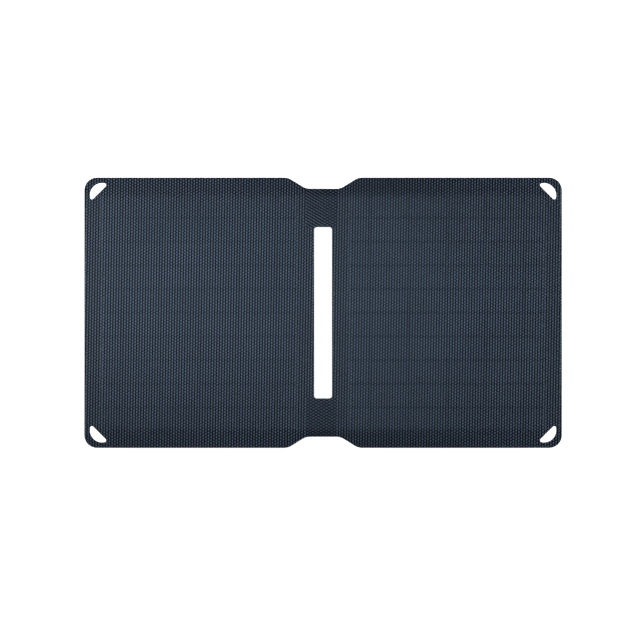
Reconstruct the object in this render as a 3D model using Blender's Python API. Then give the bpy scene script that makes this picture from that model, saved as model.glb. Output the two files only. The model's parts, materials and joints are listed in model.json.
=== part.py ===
"""A folding solar charger: two laminated leaves on one flexible fold, with a USB controller on the back.

The panel lies open and flat, cells up. +X runs along its long side, +Y up the leaves and +Z out of the
cell face. The origin is under the middle of the panel, level with the underside of the controller.
All lengths are in metres.
"""

import math

import bmesh
import bpy
from mathutils import Vector

MM = 0.001

# Panel outline, seen on the cell face
PANEL_HALF_LENGTH = 192.5 * MM
PANEL_HALF_HEIGHT = 109.0 * MM
CORNER_RADIUS = 10.3 * MM
BAND_HALF_HEIGHT = 100.0 * MM
BAND_FLAT_HALF_WIDTH = 10.4 * MM
SHOULDER_RADIUS = 12.0 * MM
SHOULDER_ANGLE = math.radians(32.0)
SLOT_HALF_WIDTH = 7.15 * MM
SLOT_HALF_LENGTH = 69.1 * MM
SLOT_CORNER_RADIUS = 2.2 * MM
ARC_STEPS = 6

# Hanging holes: a circle's segment with rounded ends, its chord across the corner's diagonal
HOLE_INSET = 14.2 * MM
HOLE_RADIUS = 9.86 * MM
HOLE_CHORD = 2.86 * MM
HOLE_END_RADIUS = 1.6 * MM

# Clearances
GAP = 0.3 * MM
LAYER_GAP = 0.2 * MM
THROUGH = 1.0 * MM

# Layer thicknesses, from the back to the cell face
FABRIC_THICKNESS = 0.5 * MM
BOARD_THICKNESS = 0.8 * MM
REAR_ENCAPSULANT_THICKNESS = 0.25 * MM
CELL_THICKNESS = 0.2 * MM
RIBBON_THICKNESS = 0.12 * MM
FRONT_ENCAPSULANT_THICKNESS = 0.3 * MM
FILM_THICKNESS = 0.5 * MM

# Pocket in the front encapsulant, which holds the board, the cells and their ribbons
POCKET_INNER_X = 16.0 * MM
POCKET_OUTER_X = 181.5 * MM
POCKET_HALF_HEIGHT = 100.0 * MM
POCKET_CORNER_CUT = 6.6 * MM

# Cells
CELL_ROWS = 10
CELL_ROW_PITCH = 19.1 * MM
CELL_STRIP_HEIGHT = 17.4 * MM
CELL_STRIP_LENGTH = 157.0 * MM
CELL_CENTRE_X = 99.85 * MM
RIBBON_COUNT = 5
RIBBON_PITCH = 31.0 * MM
RIBBON_WIDTH = 1.2 * MM
BUS_WIDTH = 3.0 * MM
BUS_CENTRE_Y = 97.8 * MM
BUS_INNER_X = 21.0 * MM
BUS_OUTER_X = 174.5 * MM

# Flexible conductors that join the leaves through the top and bottom bands
JUMPER_LOW_Y = 89.0 * MM
JUMPER_HIGH_Y = 95.0 * MM
JUMPER_LEG_WIDTH = 3.7 * MM

# Controller box
BOX_CENTRE_X = 70.0 * MM
BOX_LENGTH = 78.0 * MM
BOX_WIDTH = 46.0 * MM
BOX_DEPTH = 12.0 * MM
BOX_CORNER_RADIUS = 5.0 * MM
BOX_EDGE_CHAMFER = 1.0 * MM
COVER_DEPTH = 9.4 * MM
COVER_WALL = 2.4 * MM
COVER_FLOOR = 1.6 * MM
GASKET_THICKNESS = 0.5 * MM
GASKET_INSET = 0.7 * MM
GASKET_WIDTH = 1.5 * MM
POST_RADIUS = 3.1 * MM
POST_TOP_Z = 6.7 * MM
SCREW_HOLE_RADIUS = 1.5 * MM
SCREW_HOLE_TOP_Z = 11.2 * MM
SCREW_OFFSET_X = 33.0 * MM
SCREW_OFFSET_Y = 17.0 * MM
SCREW_SHANK_RADIUS = 1.2 * MM
SCREW_SHANK_TOP_Z = 10.9 * MM
SCREW_HEAD_RADIUS = 2.4 * MM
SCREW_HEAD_LOW_Z = 0.35 * MM
SCREW_HEAD_HIGH_Z = 1.65 * MM
SCREW_CHAMFER = 0.3 * MM
SCREW_RECESS_DEPTH = 0.8 * MM
SCREW_RECESS_RADIUS = 1.3 * MM
SCREW_RECESS_WAIST = 0.5 * MM
COUNTERBORE_RADIUS = 2.7 * MM
COUNTERBORE_DEPTH = 1.95 * MM

# Circuit board, with its components hanging under it
CIRCUIT_LENGTH = 58.0 * MM
CIRCUIT_WIDTH = 37.0 * MM
CIRCUIT_THICKNESS = 1.2 * MM
CIRCUIT_CORNER_RADIUS = 1.0 * MM
CIRCUIT_LOW_Z = 8.1 * MM
COMPONENT_TOP_Z = CIRCUIT_LOW_Z - GAP
SPACER_SIZE = 4.0 * MM
CAPACITOR_HEIGHT = 5.4 * MM
CAPACITOR_RADIUS = 3.15 * MM
CAPACITOR_GROOVE = 0.25 * MM
CAPACITOR_XS = (80.0 * MM, 88.0 * MM)
CAPACITOR_Y = 6.0 * MM
# Each block component, in millimetres: size, corner radius, centre and material
COMPONENTS = {
    "inductor": ((7.0, 7.0, 4.0), 1.5, (84.0, -5.0), "ferrite"),
    "charge_chip": ((5.0, 4.0, 1.4), 0.2, (68.0, 6.0), "ferrite"),
    "diode": ((4.5, 2.6, 2.1), 0.2, (52.0, 10.0), "ferrite"),
    "status_led": ((3.0, 1.6, 1.9), 0.2, (78.0, -15.6), "lens"),
}

# USB socket, in the box's wall on the -Y side
USB_X = 58.0 * MM
USB_CENTRE_Z = 4.95 * MM
USB_WIDTH = 13.1 * MM
USB_HEIGHT = 5.7 * MM
USB_WALL = 0.4 * MM
USB_FRONT_Y = -22.2 * MM
USB_LENGTH = 14.0 * MM
USB_CORNER_RADIUS = 0.8 * MM
TONGUE_WIDTH = 11.1 * MM
TONGUE_THICKNESS = 1.8 * MM
TONGUE_RECESS = 4.7 * MM
TONGUE_RISE = 1.0 * MM
INSULATOR_DEPTH = 2.0 * MM

# Rubber flap over the socket's mouth
FLAP_THICKNESS = 1.6 * MM
FLAP_LENGTH = 19.0 * MM
FLAP_HEIGHT = 8.0 * MM
FLAP_AXIS_X = 48.0 * MM
FLAP_CORNER_RADIUS = 1.5 * MM
ANCHOR_LENGTH = 6.5 * MM
ANCHOR_HEIGHT = 5.0 * MM
ANCHOR_STEM_RADIUS = 1.0 * MM
ANCHOR_STEM_LENGTH = 2.0 * MM

# Status light
LIGHT_X = 78.0 * MM
LIGHT_Z = 6.4 * MM
LIGHT_RADIUS = 1.3 * MM
LIGHT_PIPE_LENGTH = 6.0 * MM
LIGHT_PIPE_CHAMFER = 0.2 * MM

# Leads from the panel down into the box
LEAD_CENTRE_X = 90.0 * MM
LEAD_OFFSET_X = 4.0 * MM
LEAD_Y = 12.0 * MM
LEAD_WIDTH = 5.0 * MM
LEAD_THICKNESS = 0.3 * MM
LEAD_FLAT_THICKNESS = 0.2 * MM
LEAD_END_Y = 97.0 * MM
LEAD_WINDOW_LENGTH = 15.0 * MM
LEAD_WINDOW_WIDTH = 4.0 * MM

# Heights that follow from the sizes above
PANEL_BACK_Z = BOX_DEPTH + GAP
BOARD_Z = PANEL_BACK_Z + FABRIC_THICKNESS + LAYER_GAP
REAR_ENCAPSULANT_Z = BOARD_Z + BOARD_THICKNESS + LAYER_GAP
CELL_Z = REAR_ENCAPSULANT_Z + REAR_ENCAPSULANT_THICKNESS + LAYER_GAP
RIBBON_Z = CELL_Z + CELL_THICKNESS + LAYER_GAP
FRONT_ENCAPSULANT_Z = RIBBON_Z + RIBBON_THICKNESS + LAYER_GAP
FILM_Z = FRONT_ENCAPSULANT_Z + FRONT_ENCAPSULANT_THICKNESS + LAYER_GAP
PANEL_TOP_Z = FILM_Z + FILM_THICKNESS
FOLD_AXIS_Z = PANEL_TOP_Z + 0.5 * MM
BOX_FRONT_Y = -BOX_WIDTH / 2

CIRCLE_STEPS = 24
SMALL_CIRCLE_STEPS = 16
SMOOTH_ANGLE = math.radians(35.0)
# Turns a plate so that its thickness runs towards -Y and its outline's y runs up
TOWARD_FRONT = (math.radians(90.0), 0.0, 0.0)


def clear_scene():
    for old in list(bpy.data.objects):
        bpy.data.objects.remove(old, do_unlink=True)


def new_material(name, color, roughness, metallic=0.0):
    material = bpy.data.materials.new(name)
    material.use_nodes = True
    shader = material.node_tree.nodes["Principled BSDF"]
    shader.inputs["Base Color"].default_value = (*color, 1.0)
    shader.inputs["Roughness"].default_value = roughness
    shader.inputs["Metallic"].default_value = metallic
    material.diffuse_color = (*color, 1.0)
    return material


# Outlines: lists of (x, y) that turn anticlockwise


def arc(centre, radius, start_degrees, end_degrees, steps=ARC_STEPS):
    points = []
    for i in range(steps + 1):
        angle = math.radians(start_degrees + (end_degrees - start_degrees) * i / steps)
        x = centre[0] + radius * math.cos(angle)
        y = centre[1] + radius * math.sin(angle)
        points.append((x, y))
    return points


def circle(radius, steps=CIRCLE_STEPS, centre=(0.0, 0.0)):
    return arc(centre, radius, 0.0, 360.0, steps)[:-1]


def rectangle(low_x, high_x, low_y, high_y):
    return [(low_x, low_y), (high_x, low_y), (high_x, high_y), (low_x, high_y)]


def rounded_rectangle(length, width, radius, steps=ARC_STEPS):
    x = length / 2 - radius
    y = width / 2 - radius
    points = arc((x, y), radius, 0.0, 90.0, steps)
    points += arc((-x, y), radius, 90.0, 180.0, steps)
    points += arc((-x, -y), radius, 180.0, 270.0, steps)
    points += arc((x, -y), radius, 270.0, 360.0, steps)
    return points


def mirrored(outline):
    """The outline turned over in X, still anticlockwise."""
    return [(-x, y) for x, y in reversed(outline)]


def shoulder():
    """The sloping edge from the narrow fold band out to the leaf's full height, in the first quadrant."""
    slope = math.degrees(SHOULDER_ANGLE)
    arc_rise = SHOULDER_RADIUS * (1.0 - math.cos(SHOULDER_ANGLE))
    straight_rise = PANEL_HALF_HEIGHT - BAND_HALF_HEIGHT - 2.0 * arc_rise
    run = 2.0 * SHOULDER_RADIUS * math.sin(SHOULDER_ANGLE) + straight_rise / math.tan(SHOULDER_ANGLE)
    inner = (BAND_FLAT_HALF_WIDTH, BAND_HALF_HEIGHT + SHOULDER_RADIUS)
    outer = (BAND_FLAT_HALF_WIDTH + run, PANEL_HALF_HEIGHT - SHOULDER_RADIUS)
    points = arc(inner, SHOULDER_RADIUS, 270.0, 270.0 + slope)
    return points + arc(outer, SHOULDER_RADIUS, 90.0 + slope, 90.0)


def leaf_outline():
    """The right-hand leaf, from the middle of the fold to its outer edge, with its half of the slot."""
    fold_x = GAP / 2
    corner = (PANEL_HALF_LENGTH - CORNER_RADIUS, PANEL_HALF_HEIGHT - CORNER_RADIUS)
    slot_corner = (SLOT_HALF_WIDTH - SLOT_CORNER_RADIUS, SLOT_HALF_LENGTH - SLOT_CORNER_RADIUS)
    upper = arc(corner, CORNER_RADIUS, 0.0, 90.0, 2 * ARC_STEPS)
    upper += reversed(shoulder())
    upper += [(fold_x, BAND_HALF_HEIGHT), (fold_x, SLOT_HALF_LENGTH)]
    upper += arc(slot_corner, SLOT_CORNER_RADIUS, 90.0, 0.0)
    return upper + [(x, -y) for x, y in reversed(upper)]


def hanging_hole_outline():
    """A half-moon around the origin, its round side towards +X and its chord at HOLE_CHORD."""
    end_x = HOLE_CHORD + HOLE_END_RADIUS
    end_y = math.sqrt((HOLE_RADIUS - HOLE_END_RADIUS) ** 2 - end_x**2)
    spread = math.degrees(math.atan2(end_y, end_x))
    outline = arc((0.0, 0.0), HOLE_RADIUS, -spread, spread, 2 * ARC_STEPS)
    outline += arc((end_x, end_y), HOLE_END_RADIUS, spread, 180.0)[1:]
    outline += arc((end_x, -end_y), HOLE_END_RADIUS, 180.0, 360.0 - spread)[:-1]
    return outline


def pocket_outline(inset=0.0):
    """The space for the board and the cells, with its outer corners cut off beside the hanging holes."""
    inner_x = POCKET_INNER_X + inset
    outer_x = POCKET_OUTER_X - inset
    top_y = POCKET_HALF_HEIGHT - inset
    cut = POCKET_CORNER_CUT
    return [
        (inner_x, -top_y),
        (outer_x - cut, -top_y),
        (outer_x, cut - top_y),
        (outer_x, top_y - cut),
        (outer_x - cut, top_y),
        (inner_x, top_y),
    ]


# Meshes


def finished_mesh(name, builder):
    """Closes a bmesh: faces out, round sides smooth."""
    bmesh.ops.recalc_face_normals(builder, faces=builder.faces)
    mesh = bpy.data.meshes.new(name)
    builder.to_mesh(mesh)
    builder.free()
    mesh.shade_smooth()
    mesh.set_sharp_from_angle(angle=SMOOTH_ANGLE)
    return mesh


def lofted_mesh(name, rings):
    """A solid through rings of equally many points, capped at both ends."""
    builder = bmesh.new()
    loops = [[builder.verts.new(point) for point in ring] for ring in rings]
    for low, high in zip(loops, loops[1:]):
        for i in range(len(low)):
            j = (i + 1) % len(low)
            builder.faces.new((low[i], low[j], high[j], high[i]))
    builder.faces.new(list(reversed(loops[0])))
    builder.faces.new(loops[-1])
    return finished_mesh(name, builder)


def plate_mesh(name, outline, thickness):
    """The outline raised from z = 0 to the thickness."""
    low = [(x, y, 0.0) for x, y in outline]
    high = [(x, y, thickness) for x, y in outline]
    return lofted_mesh(name, [low, high])


def turned_mesh(name, profile, steps=CIRCLE_STEPS):
    """A solid of round cross sections, from (radius, z) pairs that run upwards."""
    rings = [[(x, y, z) for x, y in circle(radius, steps)] for radius, z in profile]
    return lofted_mesh(name, rings)


def ring_mesh(name, outer, inner, thickness):
    """A flat ring between two outlines of equally many points."""
    builder = bmesh.new()
    loops = []
    for outline, z in ((outer, 0.0), (outer, thickness), (inner, thickness), (inner, 0.0)):
        loops.append([builder.verts.new((x, y, z)) for x, y in outline])
    for low, high in zip(loops, loops[1:] + loops[:1]):
        for i in range(len(low)):
            j = (i + 1) % len(low)
            builder.faces.new((low[i], low[j], high[j], high[i]))
    return finished_mesh(name, builder)


def ladder_mesh(name, xs, ys, thickness):
    """Rails along Y between each pair of xs, joined by a rung in the first and the last row of ys."""
    builder = bmesh.new()
    corners = {}
    for i, x in enumerate(xs):
        for j, y in enumerate(ys):
            corners[i, j] = builder.verts.new((x, y, 0.0))
    faces = []
    last_row = len(ys) - 2
    for i in range(len(xs) - 1):
        for j in range(len(ys) - 1):
            is_rail = i % 2 == 1
            is_rung = j in (0, last_row)
            if is_rail or is_rung:
                quad = (corners[i, j], corners[i + 1, j], corners[i + 1, j + 1], corners[i, j + 1])
                faces.append(builder.faces.new(quad))
    loose = [corner for corner in builder.verts if not corner.link_faces]
    bmesh.ops.delete(builder, geom=loose, context="VERTS")
    raised = bmesh.ops.extrude_face_region(builder, geom=faces, use_keep_orig=True)
    raised_corners = [item for item in raised["geom"] if isinstance(item, bmesh.types.BMVert)]
    bmesh.ops.translate(builder, verts=raised_corners, vec=(0.0, 0.0, thickness))
    return finished_mesh(name, builder)


# Objects


def add_pivot(name, location, parent=None):
    pivot = bpy.data.objects.new(name, None)
    bpy.context.scene.collection.objects.link(pivot)
    pivot.location = location
    pivot.parent = parent
    return pivot


def add_piece(name, mesh, material, pivot, location, turn=(0.0, 0.0, 0.0)):
    """Places a mesh at a point of the world, as a child of a pivot that isn't turned."""
    piece = bpy.data.objects.new(name, mesh)
    bpy.context.scene.collection.objects.link(piece)
    if material is not None:
        mesh.materials.clear()
        mesh.materials.append(material)
    piece.parent = pivot
    piece.location = Vector(location) - pivot.location
    piece.rotation_euler = turn
    return piece


def add_helper(name, mesh, pivot, location, turn=(0.0, 0.0, 0.0)):
    """A cutter, or a shape that is joined to a piece: not a piece of its own."""
    helper = add_piece(name, mesh, None, pivot, location, turn)
    helper.hide_render = True
    helper.display_type = "WIRE"
    return helper


def combine(piece, operation, helpers):
    for helper in helpers:
        modifier = piece.modifiers.new(helper.name, "BOOLEAN")
        modifier.operation = operation
        modifier.object = helper


def cut(piece, *cutters):
    combine(piece, "DIFFERENCE", cutters)


def join(piece, *additions):
    combine(piece, "UNION", additions)


# Leaves


def hanging_hole_cutters(root):
    mesh = plate_mesh("hanging_hole", hanging_hole_outline(), PANEL_TOP_Z - PANEL_BACK_Z + 2 * THROUGH)
    cutters = {}
    for side_name, side in (("right", 1), ("left", -1)):
        for level_name, level in (("top", 1), ("bottom", -1)):
            x = side * (PANEL_HALF_LENGTH - HOLE_INSET)
            y = level * (PANEL_HALF_HEIGHT - HOLE_INSET)
            name = f"{side_name}_{level_name}_hanging_hole"
            turn = (0.0, 0.0, math.atan2(level, side))
            place = (x, y, PANEL_BACK_Z - THROUGH)
            cutters.setdefault(side_name, []).append(add_helper(name, mesh, root, place, turn))
    return cutters


def jumper_channel_cutters(root):
    """Flat tunnels through the fold bands for the conductors that join the leaves."""
    half_length = POCKET_INNER_X + THROUGH
    height = RIBBON_THICKNESS + 2 * LAYER_GAP
    cutters = []
    low_y = JUMPER_LOW_Y - 2 * GAP
    high_y = JUMPER_HIGH_Y + 2 * GAP
    for name, level in (("top", 1), ("bottom", -1)):
        ys = sorted((level * low_y, level * high_y))
        mesh = plate_mesh(f"{name}_channel", rectangle(-half_length, half_length, *ys), height)
        cutters.append(add_helper(f"{name}_channel", mesh, root, (0.0, 0.0, CELL_Z + CELL_THICKNESS)))
    return cutters


def ribbon_grid():
    """Where the ribbons' edges and the bus ribbons' edges lie."""
    xs = [BUS_INNER_X]
    for i in range(RIBBON_COUNT):
        x = CELL_CENTRE_X + (i - (RIBBON_COUNT - 1) / 2) * RIBBON_PITCH
        xs += [x - RIBBON_WIDTH / 2, x + RIBBON_WIDTH / 2]
    xs.append(BUS_OUTER_X)
    inner_y = BUS_CENTRE_Y - BUS_WIDTH / 2
    outer_y = BUS_CENTRE_Y + BUS_WIDTH / 2
    return xs, [-outer_y, -inner_y, inner_y, outer_y]


def jumper_outline(level):
    """An angled conductor from the fold to the inner end of a bus ribbon, at the top or the bottom."""
    leg_outer = BUS_INNER_X - GAP
    leg_inner = leg_outer - JUMPER_LEG_WIDTH
    tip_y = BUS_CENTRE_Y + BUS_WIDTH / 2
    outline = [
        (GAP / 2, JUMPER_LOW_Y),
        (leg_outer, JUMPER_LOW_Y),
        (leg_outer, tip_y),
        (leg_inner, tip_y),
        (leg_inner, JUMPER_HIGH_Y),
        (GAP / 2, JUMPER_HIGH_Y),
    ]
    if level > 0:
        return outline
    return [(x, -y) for x, y in reversed(outline)]


def build_leaf(side_name, pivot, materials, hole_cutters, channel_cutters):
    """One leaf: skins, encapsulant, board, cells and conductors. The outlines are the right leaf's."""
    side = 1 if side_name == "right" else -1

    def sided(outline):
        return outline if side > 0 else mirrored(outline)

    def layer(name, outline, thickness, z, material_name):
        mesh = plate_mesh(name, sided(outline), thickness)
        return add_piece(f"{side_name}_{name}", mesh, materials[material_name], pivot, (0.0, 0.0, z))

    film = layer("front_film", leaf_outline(), FILM_THICKNESS, FILM_Z, "film")
    encapsulant_height = FRONT_ENCAPSULANT_Z + FRONT_ENCAPSULANT_THICKNESS - BOARD_Z
    encapsulant = layer("front_encapsulant", leaf_outline(), encapsulant_height, BOARD_Z, "encapsulant")
    fabric = layer("back_fabric", leaf_outline(), FABRIC_THICKNESS, PANEL_BACK_Z, "fabric")
    for sheet in (film, encapsulant, fabric):
        cut(sheet, *hole_cutters)

    pocket_mesh = plate_mesh("pocket", sided(pocket_outline()), FRONT_ENCAPSULANT_Z - BOARD_Z + THROUGH)
    pocket = add_helper(f"{side_name}_pocket", pocket_mesh, pivot, (0.0, 0.0, BOARD_Z - THROUGH))
    cut(encapsulant, pocket, *channel_cutters)

    rear_thickness = REAR_ENCAPSULANT_THICKNESS
    layer("backing_board", pocket_outline(GAP), BOARD_THICKNESS, BOARD_Z, "board")
    layer("rear_encapsulant", pocket_outline(GAP), rear_thickness, REAR_ENCAPSULANT_Z, "encapsulant")

    half_length = CELL_STRIP_LENGTH / 2
    half_height = CELL_STRIP_HEIGHT / 2
    strip = rectangle(-half_length, half_length, -half_height, half_height)
    strip_mesh = plate_mesh("cell_strip", strip, CELL_THICKNESS)
    for row in range(CELL_ROWS):
        y = ((CELL_ROWS - 1) / 2 - row) * CELL_ROW_PITCH
        name = f"{side_name}_cell_{row + 1:02d}"
        add_piece(name, strip_mesh, materials["cell"], pivot, (side * CELL_CENTRE_X, y, CELL_Z))

    xs, ys = ribbon_grid()
    sided_xs = sorted(side * x for x in xs)
    ladder = ladder_mesh("ribbons", sided_xs, ys, RIBBON_THICKNESS)
    add_piece(f"{side_name}_ribbons", ladder, materials["ribbon"], pivot, (0.0, 0.0, RIBBON_Z))
    layer("top_jumper", jumper_outline(1), RIBBON_THICKNESS, RIBBON_Z, "ribbon")
    layer("bottom_jumper", jumper_outline(-1), RIBBON_THICKNESS, RIBBON_Z, "ribbon")


def build_leads(root, materials):
    """The two conductors that run behind the right leaf's cells and down through windows into the box."""
    half_window = LEAD_WINDOW_LENGTH / 2
    window_outline = rectangle(-half_window, half_window, -LEAD_WINDOW_WIDTH / 2, LEAD_WINDOW_WIDTH / 2)
    window_low = COVER_DEPTH
    window_height = REAR_ENCAPSULANT_Z - LAYER_GAP / 2 - window_low
    window_mesh = plate_mesh("lead_window", window_outline, window_height)
    window = add_helper("lead_window", window_mesh, root, (LEAD_CENTRE_X, LEAD_Y, window_low))
    for name in ("right_back_fabric", "right_backing_board", "controller_base"):
        cut(bpy.data.objects[name], window)

    flat_z = REAR_ENCAPSULANT_Z
    tip_z = CIRCUIT_LOW_Z + CIRCUIT_THICKNESS + GAP
    half_thickness = LEAD_THICKNESS / 2
    for name, direction, x in (
        ("positive_lead", 1, LEAD_CENTRE_X - LEAD_OFFSET_X),
        ("negative_lead", -1, LEAD_CENTRE_X + LEAD_OFFSET_X),
    ):
        near = LEAD_Y - direction * half_thickness
        far = LEAD_Y + direction * half_thickness
        end = direction * LEAD_END_Y
        top_z = flat_z + LEAD_FLAT_THICKNESS
        profile = [
            (near, tip_z),
            (far, tip_z),
            (far, flat_z),
            (end, flat_z),
            (end, top_z),
            (near, top_z),
        ]
        sides = [[(side_x, y, z) for y, z in profile] for side_x in (-LEAD_WIDTH / 2, LEAD_WIDTH / 2)]
        add_piece(name, lofted_mesh(name, sides), materials["ribbon"], root, (x, 0.0, 0.0))

        slot_end_y = direction * (POCKET_HALF_HEIGHT + THROUGH)
        ys = sorted((LEAD_Y - direction * LEAD_WINDOW_WIDTH / 2, slot_end_y))
        half_slot = LEAD_WIDTH / 2 + GAP
        slot_mesh = plate_mesh(f"{name}_slot", rectangle(-half_slot, half_slot, *ys), 4 * THROUGH)
        slot = add_helper(f"{name}_slot", slot_mesh, root, (x, 0.0, flat_z - 2 * THROUGH))
        cut(bpy.data.objects["right_rear_encapsulant"], slot)


# Controller


def screw_places():
    places = []
    for x_sign in (-1, 1):
        for y_sign in (-1, 1):
            places.append((BOX_CENTRE_X + x_sign * SCREW_OFFSET_X, y_sign * SCREW_OFFSET_Y))
    return places


def box_outline(inset=0.0):
    return rounded_rectangle(BOX_LENGTH - 2 * inset, BOX_WIDTH - 2 * inset, BOX_CORNER_RADIUS - inset)


def build_base(root, materials):
    """The plate that is bonded to the back fabric, with a boss for each screw and two board spacers."""
    base_thickness = BOX_DEPTH - COVER_DEPTH - GASKET_THICKNESS - 2 * GAP
    base_z = BOX_DEPTH - base_thickness
    mesh = plate_mesh("controller_base", box_outline(), base_thickness)
    base = add_piece("controller_base", mesh, materials["housing"], root, (BOX_CENTRE_X, 0.0, base_z))
    boss_low = POST_TOP_Z + GAP
    overlap = base_thickness / 2
    boss_mesh = turned_mesh("boss", [(POST_RADIUS, 0.0), (POST_RADIUS, base_z + overlap - boss_low)])
    hole_height = SCREW_HOLE_TOP_Z - boss_low + THROUGH
    hole_mesh = turned_mesh("pilot_hole", [(SCREW_HOLE_RADIUS, 0.0), (SCREW_HOLE_RADIUS, hole_height)])
    bosses = []
    holes = []
    for number, (x, y) in enumerate(screw_places(), 1):
        bosses.append(add_helper(f"boss_{number}", boss_mesh, root, (x, y, boss_low)))
        holes.append(add_helper(f"pilot_hole_{number}", hole_mesh, root, (x, y, boss_low - THROUGH)))
    spacer_low = CIRCUIT_LOW_Z + CIRCUIT_THICKNESS + GAP
    half = SPACER_SIZE / 2
    spacer_mesh = plate_mesh("spacer", rectangle(-half, half, -half, half), base_z + overlap - spacer_low)
    for number, x_sign in enumerate((-1, 1), 1):
        x = BOX_CENTRE_X + x_sign * (CIRCUIT_LENGTH / 2 - SPACER_SIZE)
        bosses.append(add_helper(f"spacer_{number}", spacer_mesh, root, (x, 0.0, spacer_low)))
    join(base, *bosses)
    cut(base, *holes)


def build_gasket(root, materials):
    outer = box_outline(GASKET_INSET)
    inner = box_outline(GASKET_INSET + GASKET_WIDTH)
    mesh = ring_mesh("controller_gasket", outer, inner, GASKET_THICKNESS)
    place = (BOX_CENTRE_X, 0.0, COVER_DEPTH + GAP)
    add_piece("controller_gasket", mesh, materials["rubber"], root, place)


def build_cover(root, materials):
    """The outer cap: a chamfered underside, screw posts, and the socket's mouth and two holes in one wall."""
    rings = []
    for inset, z in ((BOX_EDGE_CHAMFER, 0.0), (0.0, BOX_EDGE_CHAMFER), (0.0, COVER_DEPTH)):
        rings.append([(x, y, z) for x, y in box_outline(inset)])
    mesh = lofted_mesh("controller_cover", rings)
    cover = add_piece("controller_cover", mesh, materials["housing"], root, (BOX_CENTRE_X, 0.0, 0.0))
    hollow_mesh = plate_mesh("cover_hollow", box_outline(COVER_WALL), COVER_DEPTH)
    hollow = add_helper("cover_hollow", hollow_mesh, root, (BOX_CENTRE_X, 0.0, COVER_FLOOR))
    post_low = COVER_FLOOR / 2
    post_mesh = turned_mesh("post", [(POST_RADIUS, 0.0), (POST_RADIUS, POST_TOP_Z - post_low)])
    bore_profile = [
        (COUNTERBORE_RADIUS, -THROUGH),
        (COUNTERBORE_RADIUS, COUNTERBORE_DEPTH),
        (SCREW_HOLE_RADIUS, COUNTERBORE_DEPTH),
        (SCREW_HOLE_RADIUS, POST_TOP_Z + THROUGH),
    ]
    bore_mesh = turned_mesh("screw_bore", bore_profile)
    posts = []
    bores = []
    for number, (x, y) in enumerate(screw_places(), 1):
        posts.append(add_helper(f"post_{number}", post_mesh, root, (x, y, post_low)))
        bores.append(add_helper(f"screw_bore_{number}", bore_mesh, root, (x, y, 0.0)))
    cut(cover, hollow)
    join(cover, *posts)
    cut(cover, *bores)

    wall_y = BOX_FRONT_Y + COVER_WALL / 2
    mouth = rounded_rectangle(USB_WIDTH + 2 * GAP, USB_HEIGHT + 2 * GAP, USB_CORNER_RADIUS + GAP)
    light = circle(LIGHT_RADIUS + GAP, SMALL_CIRCLE_STEPS)
    stem = circle(ANCHOR_STEM_RADIUS + GAP, SMALL_CIRCLE_STEPS)
    anchor_x = FLAP_AXIS_X - GAP / 2 - ANCHOR_LENGTH / 2
    for name, outline, x, z in (
        ("mouth", mouth, USB_X, USB_CENTRE_Z),
        ("light_hole", light, LIGHT_X, LIGHT_Z),
        ("stem_hole", stem, anchor_x, USB_CENTRE_Z),
    ):
        opening = plate_mesh(name, outline, 2 * COVER_WALL)
        cut(cover, add_helper(name, opening, root, (x, wall_y + COVER_WALL, z), TOWARD_FRONT))


def build_screws(root, materials):
    """Cross-head screws, all of one mesh."""
    recess = []
    quarter = CIRCLE_STEPS // 4
    for i in range(CIRCLE_STEPS):
        angle = math.tau * i / CIRCLE_STEPS
        on_arm = (i + 1) % quarter <= 2
        radius = SCREW_RECESS_RADIUS if on_arm else SCREW_RECESS_WAIST
        recess.append((radius * math.cos(angle), radius * math.sin(angle)))
    rings = [
        [(x, y, SCREW_HEAD_LOW_Z + SCREW_RECESS_DEPTH) for x, y in recess],
        [(x, y, SCREW_HEAD_LOW_Z) for x, y in recess],
    ]
    for radius, z in (
        (SCREW_HEAD_RADIUS - SCREW_CHAMFER, SCREW_HEAD_LOW_Z),
        (SCREW_HEAD_RADIUS, SCREW_HEAD_LOW_Z + SCREW_CHAMFER),
        (SCREW_HEAD_RADIUS, SCREW_HEAD_HIGH_Z),
        (SCREW_SHANK_RADIUS, SCREW_HEAD_HIGH_Z),
        (SCREW_SHANK_RADIUS, SCREW_SHANK_TOP_Z - SCREW_CHAMFER),
        (SCREW_SHANK_RADIUS - SCREW_CHAMFER, SCREW_SHANK_TOP_Z),
    ):
        rings.append([(x, y, z) for x, y in circle(radius)])
    mesh = lofted_mesh("cover_screw", rings)
    for number, (x, y) in enumerate(screw_places(), 1):
        add_piece(f"cover_screw_{number}", mesh, materials["steel"], root, (x, y, 0.0))


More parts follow.
